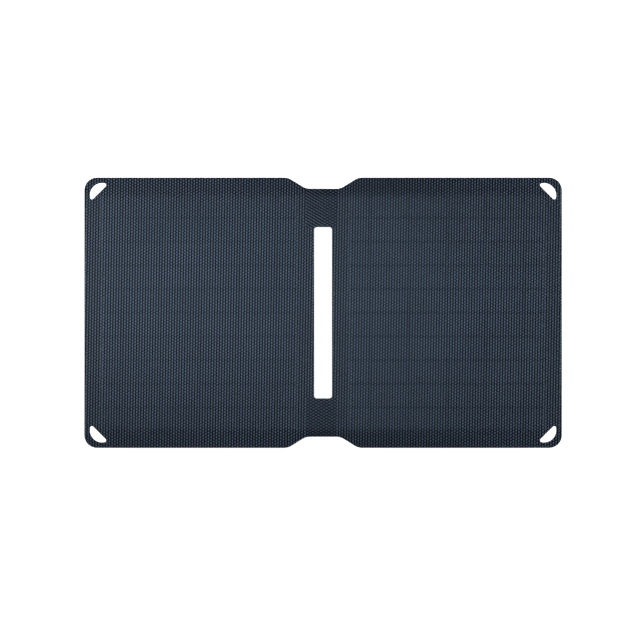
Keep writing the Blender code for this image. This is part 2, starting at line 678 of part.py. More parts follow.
def build_circuit(root, materials):
    """The charging circuit: its board, and the components on the board's underside."""
    board_outline = rounded_rectangle(CIRCUIT_LENGTH, CIRCUIT_WIDTH, CIRCUIT_CORNER_RADIUS, 2)
    board = plate_mesh("circuit_board", board_outline, CIRCUIT_THICKNESS)
    add_piece("circuit_board", board, materials["circuit"], root, (BOX_CENTRE_X, 0.0, CIRCUIT_LOW_Z))
    for name, (size, radius, centre, material_name) in COMPONENTS.items():
        length, width, height = (value * MM for value in size)
        mesh = plate_mesh(name, rounded_rectangle(length, width, radius * MM, 2), height)
        place = (centre[0] * MM, centre[1] * MM, COMPONENT_TOP_Z - height)
        add_piece(name, mesh, materials[material_name], root, place)

    waist = CAPACITOR_RADIUS - CAPACITOR_GROOVE
    groove_z = 0.7 * CAPACITOR_HEIGHT
    profile = [
        (waist, 0.0),
        (CAPACITOR_RADIUS, CAPACITOR_GROOVE),
        (CAPACITOR_RADIUS, groove_z),
        (waist, groove_z + CAPACITOR_GROOVE),
        (waist, groove_z + 2 * CAPACITOR_GROOVE),
        (CAPACITOR_RADIUS, groove_z + 3 * CAPACITOR_GROOVE),
        (CAPACITOR_RADIUS, CAPACITOR_HEIGHT),
    ]
    mesh = turned_mesh("capacitor", profile)
    for number, x in enumerate(CAPACITOR_XS, 1):
        place = (x, CAPACITOR_Y, COMPONENT_TOP_Z - CAPACITOR_HEIGHT)
        add_piece(f"capacitor_{number}", mesh, materials["aluminium"], root, place)


def build_usb_socket(root, materials):
    """A metal shell round an insulator, whose tongue carries the contacts. Both open towards -Y."""
    back_y = USB_FRONT_Y + USB_LENGTH
    inner_width = USB_WIDTH - 2 * USB_WALL
    inner_height = USB_HEIGHT - 2 * USB_WALL
    outer = rounded_rectangle(USB_WIDTH, USB_HEIGHT, USB_CORNER_RADIUS, 3)
    inner = rounded_rectangle(inner_width, inner_height, USB_CORNER_RADIUS - USB_WALL, 3)
    shell_mesh = ring_mesh("usb_shell", outer, inner, USB_LENGTH)
    shell_place = (USB_X, back_y, USB_CENTRE_Z)
    add_piece("usb_shell", shell_mesh, materials["steel"], root, shell_place, TOWARD_FRONT)

    block_half_width = inner_width / 2 - GAP
    block_half_height = inner_height / 2 - GAP
    block = rectangle(-block_half_width, block_half_width, -block_half_height, block_half_height)
    block_mesh = plate_mesh("usb_insulator", block, INSULATOR_DEPTH)
    place = (USB_X, back_y - GAP, USB_CENTRE_Z)
    insulator = add_piece("usb_insulator", block_mesh, materials["insulator"], root, place, TOWARD_FRONT)
    half_width = TONGUE_WIDTH / 2
    half_thickness = TONGUE_THICKNESS / 2
    tongue = rectangle(-half_width, half_width, TONGUE_RISE - half_thickness, TONGUE_RISE + half_thickness)
    tongue_mesh = plate_mesh("usb_tongue", tongue, USB_LENGTH - TONGUE_RECESS - GAP - INSULATOR_DEPTH / 2)
    tongue_place = (USB_X, back_y - GAP - INSULATOR_DEPTH / 2, USB_CENTRE_Z)
    join(insulator, add_helper("usb_tongue", tongue_mesh, root, tongue_place, TOWARD_FRONT))


def build_port_flap(root, materials):
    """The rubber flap turns on its thin web, at its outer face. Its anchor is plugged into the cover."""
    outer_y = BOX_FRONT_Y - GAP - FLAP_THICKNESS
    pivot = add_pivot("port_flap_pivot", (FLAP_AXIS_X, outer_y, USB_CENTRE_Z), root)
    flap_outline = rounded_rectangle(FLAP_LENGTH, FLAP_HEIGHT, FLAP_CORNER_RADIUS)
    flap_outline = [(x + FLAP_LENGTH / 2 + GAP / 2, z) for x, z in flap_outline]
    flap_mesh = plate_mesh("port_flap", flap_outline, FLAP_THICKNESS)
    place = (FLAP_AXIS_X, BOX_FRONT_Y - GAP, USB_CENTRE_Z)
    add_piece("port_flap", flap_mesh, materials["rubber"], pivot, place, TOWARD_FRONT)

    anchor_x = FLAP_AXIS_X - GAP / 2 - ANCHOR_LENGTH / 2
    anchor_outline = rounded_rectangle(ANCHOR_LENGTH, ANCHOR_HEIGHT, FLAP_CORNER_RADIUS)
    anchor_mesh = plate_mesh("port_flap_anchor", anchor_outline, FLAP_THICKNESS)
    place = (anchor_x, BOX_FRONT_Y - GAP, USB_CENTRE_Z)
    anchor = add_piece("port_flap_anchor", anchor_mesh, materials["rubber"], root, place, TOWARD_FRONT)
    stem_length = ANCHOR_STEM_LENGTH + GAP + FLAP_THICKNESS / 2
    stem_profile = [(ANCHOR_STEM_RADIUS, 0.0), (ANCHOR_STEM_RADIUS, stem_length)]
    stem_mesh = turned_mesh("stem", stem_profile, SMALL_CIRCLE_STEPS)
    stem_place = (anchor_x, BOX_FRONT_Y + ANCHOR_STEM_LENGTH, USB_CENTRE_Z)
    join(anchor, add_helper("stem", stem_mesh, root, stem_place, TOWARD_FRONT))


def build_light_pipe(root, materials):
    profile = [
        (LIGHT_RADIUS, 0.0),
        (LIGHT_RADIUS, LIGHT_PIPE_LENGTH - LIGHT_PIPE_CHAMFER),
        (LIGHT_RADIUS - LIGHT_PIPE_CHAMFER, LIGHT_PIPE_LENGTH),
    ]
    mesh = turned_mesh("light_pipe", profile, SMALL_CIRCLE_STEPS)
    place = (LIGHT_X, BOX_FRONT_Y + LIGHT_PIPE_LENGTH, LIGHT_Z)
    add_piece("light_pipe", mesh, materials["lens"], root, place, TOWARD_FRONT)


def build():
    clear_scene()
    materials = {
        "film": new_material("textured_film", (0.030, 0.042, 0.062), 0.45),
        "encapsulant": new_material("encapsulant", (0.020, 0.022, 0.026), 0.42),
        "cell": new_material("silicon_cell", (0.020, 0.028, 0.050), 0.30),
        "ribbon": new_material("tinned_copper", (0.62, 0.62, 0.60), 0.35, 1.0),
        "board": new_material("glass_fibre_board", (0.45, 0.47, 0.40), 0.60),
        "fabric": new_material("woven_fabric", (0.018, 0.019, 0.021), 0.90),
        "housing": new_material("moulded_housing", (0.015, 0.015, 0.016), 0.50),
        "rubber": new_material("soft_rubber", (0.020, 0.020, 0.021), 0.75),
        "steel": new_material("plated_steel", (0.60, 0.60, 0.61), 0.30, 1.0),
        "circuit": new_material("circuit_laminate", (0.02, 0.12, 0.06), 0.45),
        "ferrite": new_material("component_black", (0.03, 0.03, 0.03), 0.55),
        "aluminium": new_material("capacitor_can", (0.70, 0.70, 0.72), 0.35, 1.0),
        "insulator": new_material("socket_insulator", (0.85, 0.85, 0.83), 0.50),
        "lens": new_material("clear_lens", (0.80, 0.82, 0.80), 0.15),
    }
    right_leaf = add_pivot("right_leaf", (0.0, 0.0, 0.0))
    left_leaf = add_pivot("left_leaf", (0.0, 0.0, FOLD_AXIS_Z), right_leaf)
    hole_cutters = hanging_hole_cutters(right_leaf)
    channel_cutters = jumper_channel_cutters(right_leaf)
    build_leaf("right", right_leaf, materials, hole_cutters["right"], channel_cutters)
    build_leaf("left", left_leaf, materials, hole_cutters["left"], channel_cutters)
    build_base(right_leaf, materials)
    build_gasket(right_leaf, materials)
    build_cover(right_leaf, materials)
    build_screws(right_leaf, materials)
    build_circuit(right_leaf, materials)
    build_usb_socket(right_leaf, materials)
    build_port_flap(right_leaf, materials)
    build_light_pipe(right_leaf, materials)
    build_leads(right_leaf, materials)


build()
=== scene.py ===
"""The looks of the folding solar charger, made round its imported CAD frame.

The panel lies open, cells up. +X runs along its long side, +Y up the leaves and +Z out of the cell face.
Lengths are in metres. Places come from the frame, and the sizes below are those of the finish.
"""

import json
import math

import bmesh
import bpy
import numpy as np
from mathutils import Matrix, Vector, kdtree
from mathutils.geometry import delaunay_2d_cdt


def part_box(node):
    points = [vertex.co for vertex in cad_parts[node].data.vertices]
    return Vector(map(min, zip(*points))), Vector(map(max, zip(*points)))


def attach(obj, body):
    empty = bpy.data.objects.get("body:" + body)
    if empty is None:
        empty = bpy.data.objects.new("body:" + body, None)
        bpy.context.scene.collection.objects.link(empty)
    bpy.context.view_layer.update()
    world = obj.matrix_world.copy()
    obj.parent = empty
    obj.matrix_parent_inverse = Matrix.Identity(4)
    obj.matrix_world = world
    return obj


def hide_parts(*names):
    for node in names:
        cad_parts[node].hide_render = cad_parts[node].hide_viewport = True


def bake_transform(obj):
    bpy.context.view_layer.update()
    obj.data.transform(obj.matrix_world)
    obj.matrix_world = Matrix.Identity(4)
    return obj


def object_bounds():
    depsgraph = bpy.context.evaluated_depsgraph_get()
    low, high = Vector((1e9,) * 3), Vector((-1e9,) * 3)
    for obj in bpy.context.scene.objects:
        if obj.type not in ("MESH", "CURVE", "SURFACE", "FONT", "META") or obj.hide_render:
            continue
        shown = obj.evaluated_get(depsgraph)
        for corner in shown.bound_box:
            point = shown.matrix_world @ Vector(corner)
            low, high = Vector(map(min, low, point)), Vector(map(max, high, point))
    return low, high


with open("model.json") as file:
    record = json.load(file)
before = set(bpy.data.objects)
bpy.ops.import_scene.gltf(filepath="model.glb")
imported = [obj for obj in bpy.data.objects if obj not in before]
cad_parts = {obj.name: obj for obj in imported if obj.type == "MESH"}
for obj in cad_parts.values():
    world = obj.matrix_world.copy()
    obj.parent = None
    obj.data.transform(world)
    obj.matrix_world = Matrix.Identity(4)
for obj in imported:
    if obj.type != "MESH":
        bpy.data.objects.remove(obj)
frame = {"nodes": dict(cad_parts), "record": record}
CAD_LOW, CAD_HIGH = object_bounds()
MM = 0.001

# Embossed lattice of dots in the front film: columns along Y, every other column shifted by half a pitch
COLUMN_PITCH = 2.155 * MM
DOT_PITCH = 2.397 * MM
LATTICE_TILT = math.radians(-1.0)
DOT_RELIEF = 0.26 * MM

# Fold: the leaves bend between -FOLD_REACH and +FOLD_REACH. The film is flatter above and below the slot
FOLD_REACH = 6.0 * MM
BAND_CENTRE_X = -1.4 * MM
BAND_HALF_WIDTH = 12.0 * MM
BAND_START_Y = 67.5 * MM
BAND_SOFTNESS = 0.6 * MM
BAND_COLUMN_SHARE = 0.25
BAND_DIAGONAL_SHARE = 0.60
BAND_STRIPE_SHARE = 0.50
STRIPES_END_X = (-1.0 * MM, 3.0 * MM)

# Painted light: the painted shade in the pits and highlights on the dots are weaker on the right-hand
# leaf's side next to the fold, where less light falls
EVENED_CENTRE_X = 45.0 * MM
EVENED_CORE = 15.0 * MM
EVENED_REACH = 130.0 * MM
EVENED_SHARE = 0.50
EVENED_LEVEL = 0.40

# Colours of the film, in linear light: its navy tone with painted shade in the pits first, then with
# painted highlights on the dots
FIELD_SHADE_AND_HIGHLIGHT_COLOURS = ((0.002, 0.004, 0.008), (0.100, 0.145, 0.210))
SIDE_MARGIN_SHADE_AND_HIGHLIGHT_COLOURS = ((0.002, 0.004, 0.008), (0.092, 0.132, 0.188))
END_MARGIN_SHADE_AND_HIGHLIGHT_COLOURS = ((0.001, 0.001, 0.003), (0.096, 0.144, 0.216))
CELL_LINE_COLOUR = (0.004, 0.008, 0.014)
# Painted highlight along the cells' outer edges, where the film slopes over them
CELL_EDGE_HIGHLIGHT_COLOUR = (0.10, 0.14, 0.18)
CELL_LINE_STRENGTHS = (0.14, 0.22)
CELL_EDGE_HIGHLIGHT_STRENGTH = 0.16
CELL_EDGE_HIGHLIGHT_FADE = (0.3 * MM, 0.9 * MM)
CLOUD_COLOUR = (0.012, 0.020, 0.030)

# Cells, as they show through the film
FIELD_RISE = 0.12 * MM
FIELD_SOFTNESS = 1.2 * MM
END_SOFTNESS = 4.5 * MM
CELL_ROW_PITCH = 19.1 * MM
BUSBAR_PITCH = 31.0 * MM
BUSBAR_HALF_WIDTH = 0.5 * MM
LINE_SOFTNESS = 0.45 * MM

# Edges of the laminate
EDGE_ROUNDING = 0.42 * MM
EDGE_STEP = 1.3 * MM
FOLD_STEP = 0.5 * MM
RIM_INSETS = (0.06 * MM, 0.2 * MM, 0.42 * MM, 0.9 * MM)
CORE_INSET = 0.15 * MM
SKIN_OVERLAP = 0.05 * MM
MARGIN_RISE = 0.3 * MM

# Controller cover: a filleted shell with grip grooves, screw posts and a flared mouth for the socket
COVER_FILLET = 1.8 * MM
COVER_CORNER = 5.0 * MM
COVER_WALL = 2.4 * MM
COVER_FLOOR = 1.6 * MM
COVER_RIM = 0.25 * MM
POST_RADIUS = 3.1 * MM
POST_TOP_Z = 6.7 * MM
COUNTERBORE_RADIUS = 2.7 * MM
COUNTERBORE_DEPTH = 1.95 * MM
SCREW_HOLE_RADIUS = 1.5 * MM
GROOVE_DEPTH = 0.5 * MM
GROOVE_HALF_WIDTH = 0.8 * MM
GROOVE_HALF_LENGTH = 11.0 * MM
GROOVE_PITCH = 3.2 * MM
GROOVE_COUNT = 4
GROOVES_CENTRE_X = 19.5 * MM
# Shares of the groove's depth and half width, from above its mouth to its floor
GROOVE_PROFILE = ((-0.3, 1.12), (0.0, 1.0), (0.45, 0.82), (0.8, 0.55), (1.0, 0.2))
OPENING_CLEARANCE = 0.3 * MM
OPENING_FLARE = 0.35 * MM
CORNER_STEPS = 14

# Cross-head screws
SCREW_HEAD_RADIUS = 2.4 * MM
SCREW_SHANK_RADIUS = 1.2 * MM
SCREW_HEAD_HEIGHT = 1.3 * MM
SCREW_RECESS_DEPTH = 0.8 * MM
SCREW_RECESS_RADIUS = 1.35 * MM
SCREW_RECESS_WAIST = 0.42 * MM
SCREW_RECESS_TAPER = 0.9
SCREW_ARM_SHARPNESS = 8
SCREW_TIP = 0.3 * MM
# Shares of the head's radius and height, from its domed top to its underside
SCREW_HEAD_PROFILE = ((0.88, 0.0), (0.96, 0.08), (0.99, 0.2), (1.0, 0.4), (1.0, 1.0))
CIRCLE_STEPS = 48

# Rubber flap, made in one with its anchor: sizes are across its face
FLAP_CORNER = 2.2 * MM
FLAP_ROOT_CORNER = 1.2 * MM
ANCHOR_CORNER = 1.5 * MM
WEB_HALF_HEIGHT = 2.1 * MM
WEB_THICKNESS = 0.6 * MM
WEB_REACH = 0.5 * MM
FLAP_RECESS = 0.3 * MM
FLAP_BORDER = 0.9 * MM
RIB_PITCH = 1.5 * MM
RIB_HALF_WIDTH = 0.35 * MM
RIB_HALF_LENGTH = 2.4 * MM
RIB_COUNT = 3
RIBS_FROM_TIP = 2.6 * MM
PLUG_HALF_LENGTH = 5.5 * MM
PLUG_HALF_HEIGHT = 2.0 * MM
PLUG_CORNER = 0.8 * MM
STEM_RADIUS = 1.0 * MM
STEEP_RUN = 0.12 * MM
RUBBER_STEP = 0.4 * MM

# Contacts under the socket's tongue, eased all round
CONTACT_XS = (-3.5 * MM, -1.0 * MM, 1.0 * MM, 3.5 * MM)
CONTACT_WIDTH = 1.0 * MM
CONTACT_LENGTH = 6.2 * MM
CONTACT_HEIGHT = 0.14 * MM
CONTACT_CORNER = 0.3 * MM
CONTACT_EASE = 0.08 * MM
CONTACT_SUNK = 0.02 * MM
TONGUE_LENGTH = 8.0 * MM
TONGUE_LOW_Z = 0.1 * MM

# Other small steps of the meshes
SLIVER = 0.01 * MM
FOLD_MARGIN = 1.5 * MM
ROUGH_STEP = 10.0 * MM
ROUGH_MARGIN = 2.0 * MM
DOTS_FROM_RIM = 0.5 * MM
FABRIC_STEP = 2.4 * MM
FABRIC_FROM_RIM = 1.6 * MM
BOARD_EDGE_SOFTNESS = 1.5 * MM
CONDUCTOR_STEP = 2.0 * MM

# Camera and stage
CAMERA_LENS_MM = 135.0
CAMERA_SENSOR_MM = 36.0
CAMERA_VIEW_WIDTH = 0.5173
CAMERA_CENTRE = (-1.67 * MM, -6.67 * MM)
FLOOR_HALF_SIDE = 6.0
FLOOR_GAP = 0.3 * MM
WORLD_STRENGTH = 0.10
BEAM_ANGLE = math.radians(11.5)
BEAM_STRETCH = (1.0, 2.5, 1.0)

# Places taken from the frame
FILM_LOW, FILM_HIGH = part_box("right_front_film")
FABRIC_LOW, FABRIC_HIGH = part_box("right_back_fabric")
BOARD_LOW, BOARD_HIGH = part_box("right_backing_board")
CELL_LOW, CELL_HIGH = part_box("right_cell_01")
CELL_CENTRE_X = (CELL_LOW.x + CELL_HIGH.x) / 2
COVER_LOW, COVER_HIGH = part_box("controller_cover")
COVER_CENTRE = (COVER_LOW + COVER_HIGH) / 2
USB_LOW, USB_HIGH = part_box("usb_shell")
USB_CENTRE = (USB_LOW + USB_HIGH) / 2
LIGHT_LOW, LIGHT_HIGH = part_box("light_pipe")
LIGHT_CENTRE = (LIGHT_LOW + LIGHT_HIGH) / 2
FLAP_LOW, FLAP_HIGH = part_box("port_flap")
ANCHOR_LOW, ANCHOR_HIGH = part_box("port_flap_anchor")
ANCHOR_CENTRE = (ANCHOR_LOW + ANCHOR_HIGH) / 2


# Shaders


class Tree:
    """A material's node tree, with one short call for each step."""

    def __init__(self, name, colour, roughness, metallic=0.0, specular=0.5):
        self.material = bpy.data.materials.new(name)
        self.material.use_nodes = True
        self.own = self.material.node_tree
        self.surface = self.own.nodes["Principled BSDF"]
        self.set("Base Color", (*colour, 1.0))
        self.set("Roughness", roughness)
        self.set("Metallic", metallic)
        self.set("Specular IOR Level", specular)
        self.material.diffuse_color = (*colour, 1.0)

    def set(self, socket, value):
        """Sets one of the surface's own sockets, or links a node to it."""
        self.feed(self.surface.inputs[socket], value)

    def feed(self, socket, value):
        if isinstance(value, bpy.types.NodeSocket):
            self.own.links.new(value, socket)
        else:
            socket.default_value = value

    def node(self, kind, inputs, **settings):
        made = self.own.nodes.new("ShaderNode" + kind)
        for key, value in settings.items():
            setattr(made, key, value)
        for key, value in inputs.items():
            self.feed(made.inputs[key], value)
        return made

    def place(self):
        """The point on the object at rest. CAD nodes sit at the origin, so it is in the frame."""
        return self.node("TexCoord", {}).outputs["Object"]

    def panel_place(self):
        """x and y of the open panel, kept in a UV map so that a pattern stays put when the leaves fold."""
        uv = self.node("UVMap", {}, uv_map="panel").outputs["UV"]
        return uv, *self.split(uv)

    def split(self, vector):
        """x and y of a vector."""
        parts = self.node("SeparateXYZ", {"Vector": vector}).outputs
        return parts["X"], parts["Y"]

    def maths(self, operation, a, b=0.0):
        return self.node("Math", {0: a, 1: b}, operation=operation).outputs[0]

    def plus(self, a, b):
        return self.maths("ADD", a, b)

    def minus(self, a, b):
        return self.maths("SUBTRACT", a, b)

    def times(self, a, b):
        return self.maths("MULTIPLY", a, b)

    def size_of(self, a):
        return self.maths("ABSOLUTE", a)

    def apart(self, a, b):
        return self.size_of(self.minus(a, b))

    def stretched(self, vector, scale):
        return self.node("Mapping", {"Vector": vector, "Scale": scale}).outputs["Vector"]

    def noise(self, vector, size, detail=3.0, roughness=0.5):
        """Cloudy noise whose features are about size across."""
        inputs = {"Vector": vector, "Scale": 1.0 / size, "Detail": detail, "Roughness": roughness}
        return self.node("TexNoise", inputs).outputs["Fac"]

    def spread(self, factor, low, high, to_low=0.0, to_high=1.0, smooth=False):
        """Maps low..high of the factor to to_low..to_high, held at both ends."""
        inputs = {"Value": factor, "From Min": low, "From Max": high, "To Min": to_low, "To Max": to_high}
        kind = "SMOOTHSTEP" if smooth else "LINEAR"
        return self.node("MapRange", inputs, interpolation_type=kind).outputs["Result"]

    def fall(self, factor, low, high):
        """1 up to low, and falling smoothly to 0 at high."""
        return self.spread(factor, low, high, 1.0, 0.0, smooth=True)

    def mix(self, factor, a, b):
        """A colour from a at factor 0 to b at factor 1."""
        made = self.node("Mix", {}, data_type="RGBA")
        colour_sockets = [socket for socket in made.inputs if socket.type == "RGBA"]
        self.feed(made.inputs["Factor"], factor)
        for socket, value in zip(colour_sockets, (a, b)):
            self.feed(socket, value if isinstance(value, bpy.types.NodeSocket) else (*value, 1.0))
        return next(socket for socket in made.outputs if socket.type == "RGBA")

    def blend_values(self, factor, a, b):
        """a at factor 0 and b at factor 1, for plain numbers."""
        difference = self.minus(b, a)
        return self.plus(a, self.times(difference, factor))

    def dressed(self, colour, roughness, normal):
        """The material, once its colour, roughness and bump are linked."""
        self.set("Base Color", colour)
        self.set("Roughness", roughness)
        self.set("Normal", normal)
        return self.material

    def bump(self, height, depth, below=None):
        """A bump of this depth for heights of 0 to 1, on top of the bump below it."""
        inputs = {"Height": height, "Strength": 1.0, "Distance": depth}
        if below is not None:
            inputs["Normal"] = below
        return self.node("Bump", inputs).outputs["Normal"]


def grained(name, colour, roughness, grain, depth, spread=0.25, metallic=0.0, specular=0.5, stretch=None):
    """A moulded, rolled or brushed surface: grain in its colour, roughness and bump, and broader clouds."""
    tree = Tree(name, colour, roughness, metallic, specular)
    place = tree.stretched(tree.place(), stretch or (1.0, 1.0, 1.0))
    fine = tree.noise(place, grain, 4.0, 0.6)
    broad = tree.noise(tree.place(), 30 * grain, 2.0)
    mixed = tree.plus(tree.times(fine, 0.6), tree.times(broad, 0.4))
    dark = tuple(c * (1.0 - spread) for c in colour)
    light = tuple(min(1.0, c * (1.0 + spread)) for c in colour)
    patchy = tree.mix(tree.spread(mixed, 0.3, 0.7), dark, light)
    worn = tree.spread(mixed, 0.3, 0.7, 0.85 * roughness, min(1.0, 1.15 * roughness))
    return tree.dressed(patchy, worn, tree.bump(fine, depth))


def lattice_waves(tree, x, y):
    """Cosines of the lattice's three directions. All are 1 on the middle of a dot."""
    cos_tilt = math.cos(LATTICE_TILT)
    sin_tilt = math.sin(LATTICE_TILT)
    across = tree.plus(tree.times(x, cos_tilt), tree.times(y, sin_tilt))
    along = tree.minus(tree.times(y, cos_tilt), tree.times(x, sin_tilt))
    u = tree.times(across, math.tau / COLUMN_PITCH)
    v = tree.times(along, math.tau / DOT_PITCH)
    half_u = tree.times(u, 0.5)
    rising = tree.maths("COSINE", tree.minus(v, half_u))
    falling = tree.maths("COSINE", tree.plus(v, half_u))
    return tree.maths("COSINE", u), rising, falling


def band_mask(tree, x, y):
    """1 on the film's flatter bands, above and below the slot."""
    across = tree.apart(x, BAND_CENTRE_X)
    soft = BAND_SOFTNESS
    in_width = tree.fall(across, BAND_HALF_WIDTH, BAND_HALF_WIDTH + soft)
    up = tree.size_of(y)
    past_slot = tree.spread(up, BAND_START_Y, BAND_START_Y + 3 * soft, smooth=True)
    return tree.times(in_width, past_slot)


def band_weave(tree, x, y, waves):
    """The bands' own pattern: hardly any columns, and falling stripes over the upper band's left half."""
    columns, rising, falling = waves
    left = tree.fall(x, *STRIPES_END_X)
    striped = tree.times(left, tree.spread(y, -MM, MM))
    more = tree.times(striped, BAND_STRIPE_SHARE)
    falling = tree.times(falling, tree.plus(more, BAND_DIAGONAL_SHARE))
    rising = tree.times(rising, tree.minus(BAND_DIAGONAL_SHARE, more))
    columns = tree.times(columns, BAND_COLUMN_SHARE)
    return tree.plus(columns, tree.plus(rising, falling))


def cell_lines(tree, x, y):
    """Where the cells lie, the lines between and across them, and a painted highlight along their outer
    edges, where the film slopes over them.
    """
    half_x = (CELL_HIGH.x - CELL_LOW.x) / 2
    away = tree.size_of(x)
    from_centre = tree.apart(away, CELL_CENTRE_X)
    soft = FIELD_SOFTNESS / 2
    inside_x = tree.fall(from_centre, half_x - soft, half_x + soft)
    up = tree.size_of(y)
    inside_y = tree.fall(up, CELL_HIGH.y - soft, CELL_HIGH.y + soft)
    row_gap = CELL_ROW_PITCH - (CELL_HIGH.y - CELL_LOW.y)
    to_row = tree.maths("PINGPONG", y, CELL_ROW_PITCH / 2)
    row_line = tree.fall(to_row, row_gap / 2, row_gap / 2 + LINE_SOFTNESS)
    to_busbar = tree.maths("PINGPONG", from_centre, BUSBAR_PITCH / 2)
    bar = BUSBAR_HALF_WIDTH
    busbar_line = tree.fall(to_busbar, bar, bar + LINE_SOFTNESS)
    to_edge = tree.apart(from_centre, half_x)
    edge_highlight = tree.fall(to_edge, *CELL_EDGE_HIGHLIGHT_FADE)
    field = tree.times(inside_x, inside_y)
    lines = tree.times(tree.maths("MAXIMUM", row_line, busbar_line), field)
    return field, lines, tree.times(edge_highlight, inside_y)


def film_material():
    """Embossed satin film over dark cells: dots and pits, with painted shade in the pits and painted
    highlights on the dots, flatter fold bands, cells showing faintly.
    """
    tree = Tree("textured_film", (0.030, 0.045, 0.068), 0.48, specular=0.13)
    uv, x, y = tree.panel_place()
    waves = lattice_waves(tree, x, y)
    columns, rising, falling = waves
    total = tree.plus(columns, tree.plus(rising, falling))
    band = band_mask(tree, x, y)
    weave = band_weave(tree, x, y, waves)
    dots_relief = tree.spread(total, -1.5, 3.0)
    weave_relief = tree.spread(weave, -1.4, 1.45, 0.2, 0.6)
    relief = tree.blend_values(band, dots_relief, weave_relief)

    # Painted light: the columns weigh more, standing in for the bump shading under light from the left
    column_chains = tree.plus(total, tree.times(columns, 1.5))
    chains = tree.spread(column_chains, -2.25, 4.0)
    # Painted light: weaker painted shade and highlights on the right-hand leaf next to the fold, where less
    # light falls
    to_even = tree.apart(x, EVENED_CENTRE_X)
    weaker_painted_light = tree.spread(to_even, EVENED_CORE, EVENED_REACH, EVENED_SHARE, 0.0, smooth=True)
    chains = tree.blend_values(weaker_painted_light, chains, EVENED_LEVEL)
    stripes = tree.spread(weave, -1.2, 1.45, 0.09, 0.63)
    pattern = tree.blend_values(band, chains, stripes)
    # Painted shade in the pits and painted highlights on the dots and on the bands' stripes
    shade = tree.spread(pattern, 0.08, 0.80, smooth=True)
    small_highlights = tree.spread(pattern, 0.19, 0.88, smooth=True)
    field, lines, edge_highlights = cell_lines(tree, x, y)
    end_margin_painted_light = tree.mix(small_highlights, *END_MARGIN_SHADE_AND_HIGHLIGHT_COLOURS)
    side_margin_painted_light = tree.mix(shade, *SIDE_MARGIN_SHADE_AND_HIGHLIGHT_COLOURS)
    field_painted_light = tree.mix(shade, *FIELD_SHADE_AND_HIGHLIGHT_COLOURS)
    up = tree.size_of(y)
    at_end = tree.spread(up, CELL_HIGH.y - END_SOFTNESS, CELL_HIGH.y + END_SOFTNESS, smooth=True)
    colour = tree.mix(field, side_margin_painted_light, field_painted_light)
    colour = tree.mix(at_end, colour, end_margin_painted_light)
    line_strength = tree.spread(x, -EVENED_CENTRE_X, EVENED_CENTRE_X, *CELL_LINE_STRENGTHS)
    colour = tree.mix(tree.times(lines, line_strength), colour, CELL_LINE_COLOUR)
    # Painted highlight along the cells' outer edges
    colour = tree.mix(tree.times(edge_highlights, CELL_EDGE_HIGHLIGHT_STRENGTH), colour, CELL_EDGE_HIGHLIGHT_COLOUR)

    clouds = tree.noise(uv, 45 * MM, 2.0)
    grain = tree.noise(uv, 0.35 * MM, 3.0, 0.6)
    colour = tree.mix(tree.spread(clouds, 0.35, 0.65, 0.0, 0.12), colour, CLOUD_COLOUR)
    roughness = tree.spread(grain, 0.3, 0.7, 0.40, 0.52)
    embossed = tree.bump(relief, 0.30 * MM)
    return tree.dressed(colour, roughness, tree.bump(grain, 0.012 * MM, embossed))


def fabric_material():
    """Coated plain weave: threads over and under each other, with the coating's dull sheen."""
    thread = 0.62 * MM
    tree = Tree("woven_fabric", (0.018, 0.019, 0.021), 0.85, specular=0.18)
    uv, x, y = tree.panel_place()
    warp = tree.maths("SINE", tree.times(x, math.pi / thread))
    weft = tree.maths("SINE", tree.times(y, math.pi / thread))
    crossing = tree.times(warp, weft)
    over = tree.spread(crossing, -0.25, 0.25, 0.0, 1.0, smooth=True)
    height = tree.blend_values(over, tree.size_of(warp), tree.size_of(weft))
    fibres = tree.noise(uv, 0.12 * MM, 3.0, 0.7)
    clouds = tree.noise(uv, 25 * MM, 2.0)
    tone = tree.plus(tree.times(height, 0.6), tree.times(fibres, 0.4))
    colour = tree.mix(tree.spread(tone, 0.1, 0.9), (0.005, 0.0055, 0.0062), (0.034, 0.036, 0.040))
    colour = tree.mix(tree.spread(clouds, 0.3, 0.7, 0.0, 0.25), colour, (0.026, 0.027, 0.030))
    tree.set("Sheen Weight", 0.04)
    tree.set("Sheen Roughness", 0.5)
    roughness = tree.spread(fibres, 0.3, 0.7, 0.72, 0.95)
    woven = tree.bump(height, 0.16 * MM)
    return tree.dressed(colour, roughness, tree.bump(fibres, 0.02 * MM, woven))


def cell_material():
    """Dark blue silicon with fine printed fingers across it."""
    tree = Tree("silicon_cell", (0.014, 0.022, 0.048), 0.25, specular=0.6)
    place = tree.place()
    _, y = tree.split(place)
    to_finger = tree.maths("PINGPONG", y, 0.75 * MM)
    finger = tree.spread(to_finger, 0.05 * MM, 0.1 * MM, 1.0, 0.0)
    clouds = tree.noise(place, 20 * MM, 3.0)
    silicon = tree.mix(clouds, (0.010, 0.016, 0.036), (0.020, 0.030, 0.062))
    colour = tree.mix(finger, silicon, (0.45, 0.46, 0.48))
    roughness = tree.spread(finger, 0.0, 1.0, 0.22, 0.4)
    return tree.dressed(colour, roughness, tree.bump(finger, 0.01 * MM))


def glass_board_material():
    """Glass cloth under resin."""
    tree = Tree("glass_fibre_board", (0.45, 0.47, 0.40), 0.55)
    place = tree.place()
    x, y = tree.split(place)
    bundle = math.tau / (1.6 * MM)
    warp = tree.maths("SINE", tree.times(x, bundle))
    weft = tree.maths("SINE", tree.times(y, bundle))
    cloth = tree.spread(tree.times(warp, weft), -1.0, 1.0)
    resin = tree.noise(place, 8 * MM)
    tone = tree.plus(tree.times(cloth, 0.5), tree.times(resin, 0.5))
    colour = tree.mix(tone, (0.33, 0.36, 0.28), (0.56, 0.58, 0.50))
    roughness = tree.spread(resin, 0.3, 0.7, 0.45, 0.65)
    return tree.dressed(colour, roughness, tree.bump(cloth, 0.03 * MM))


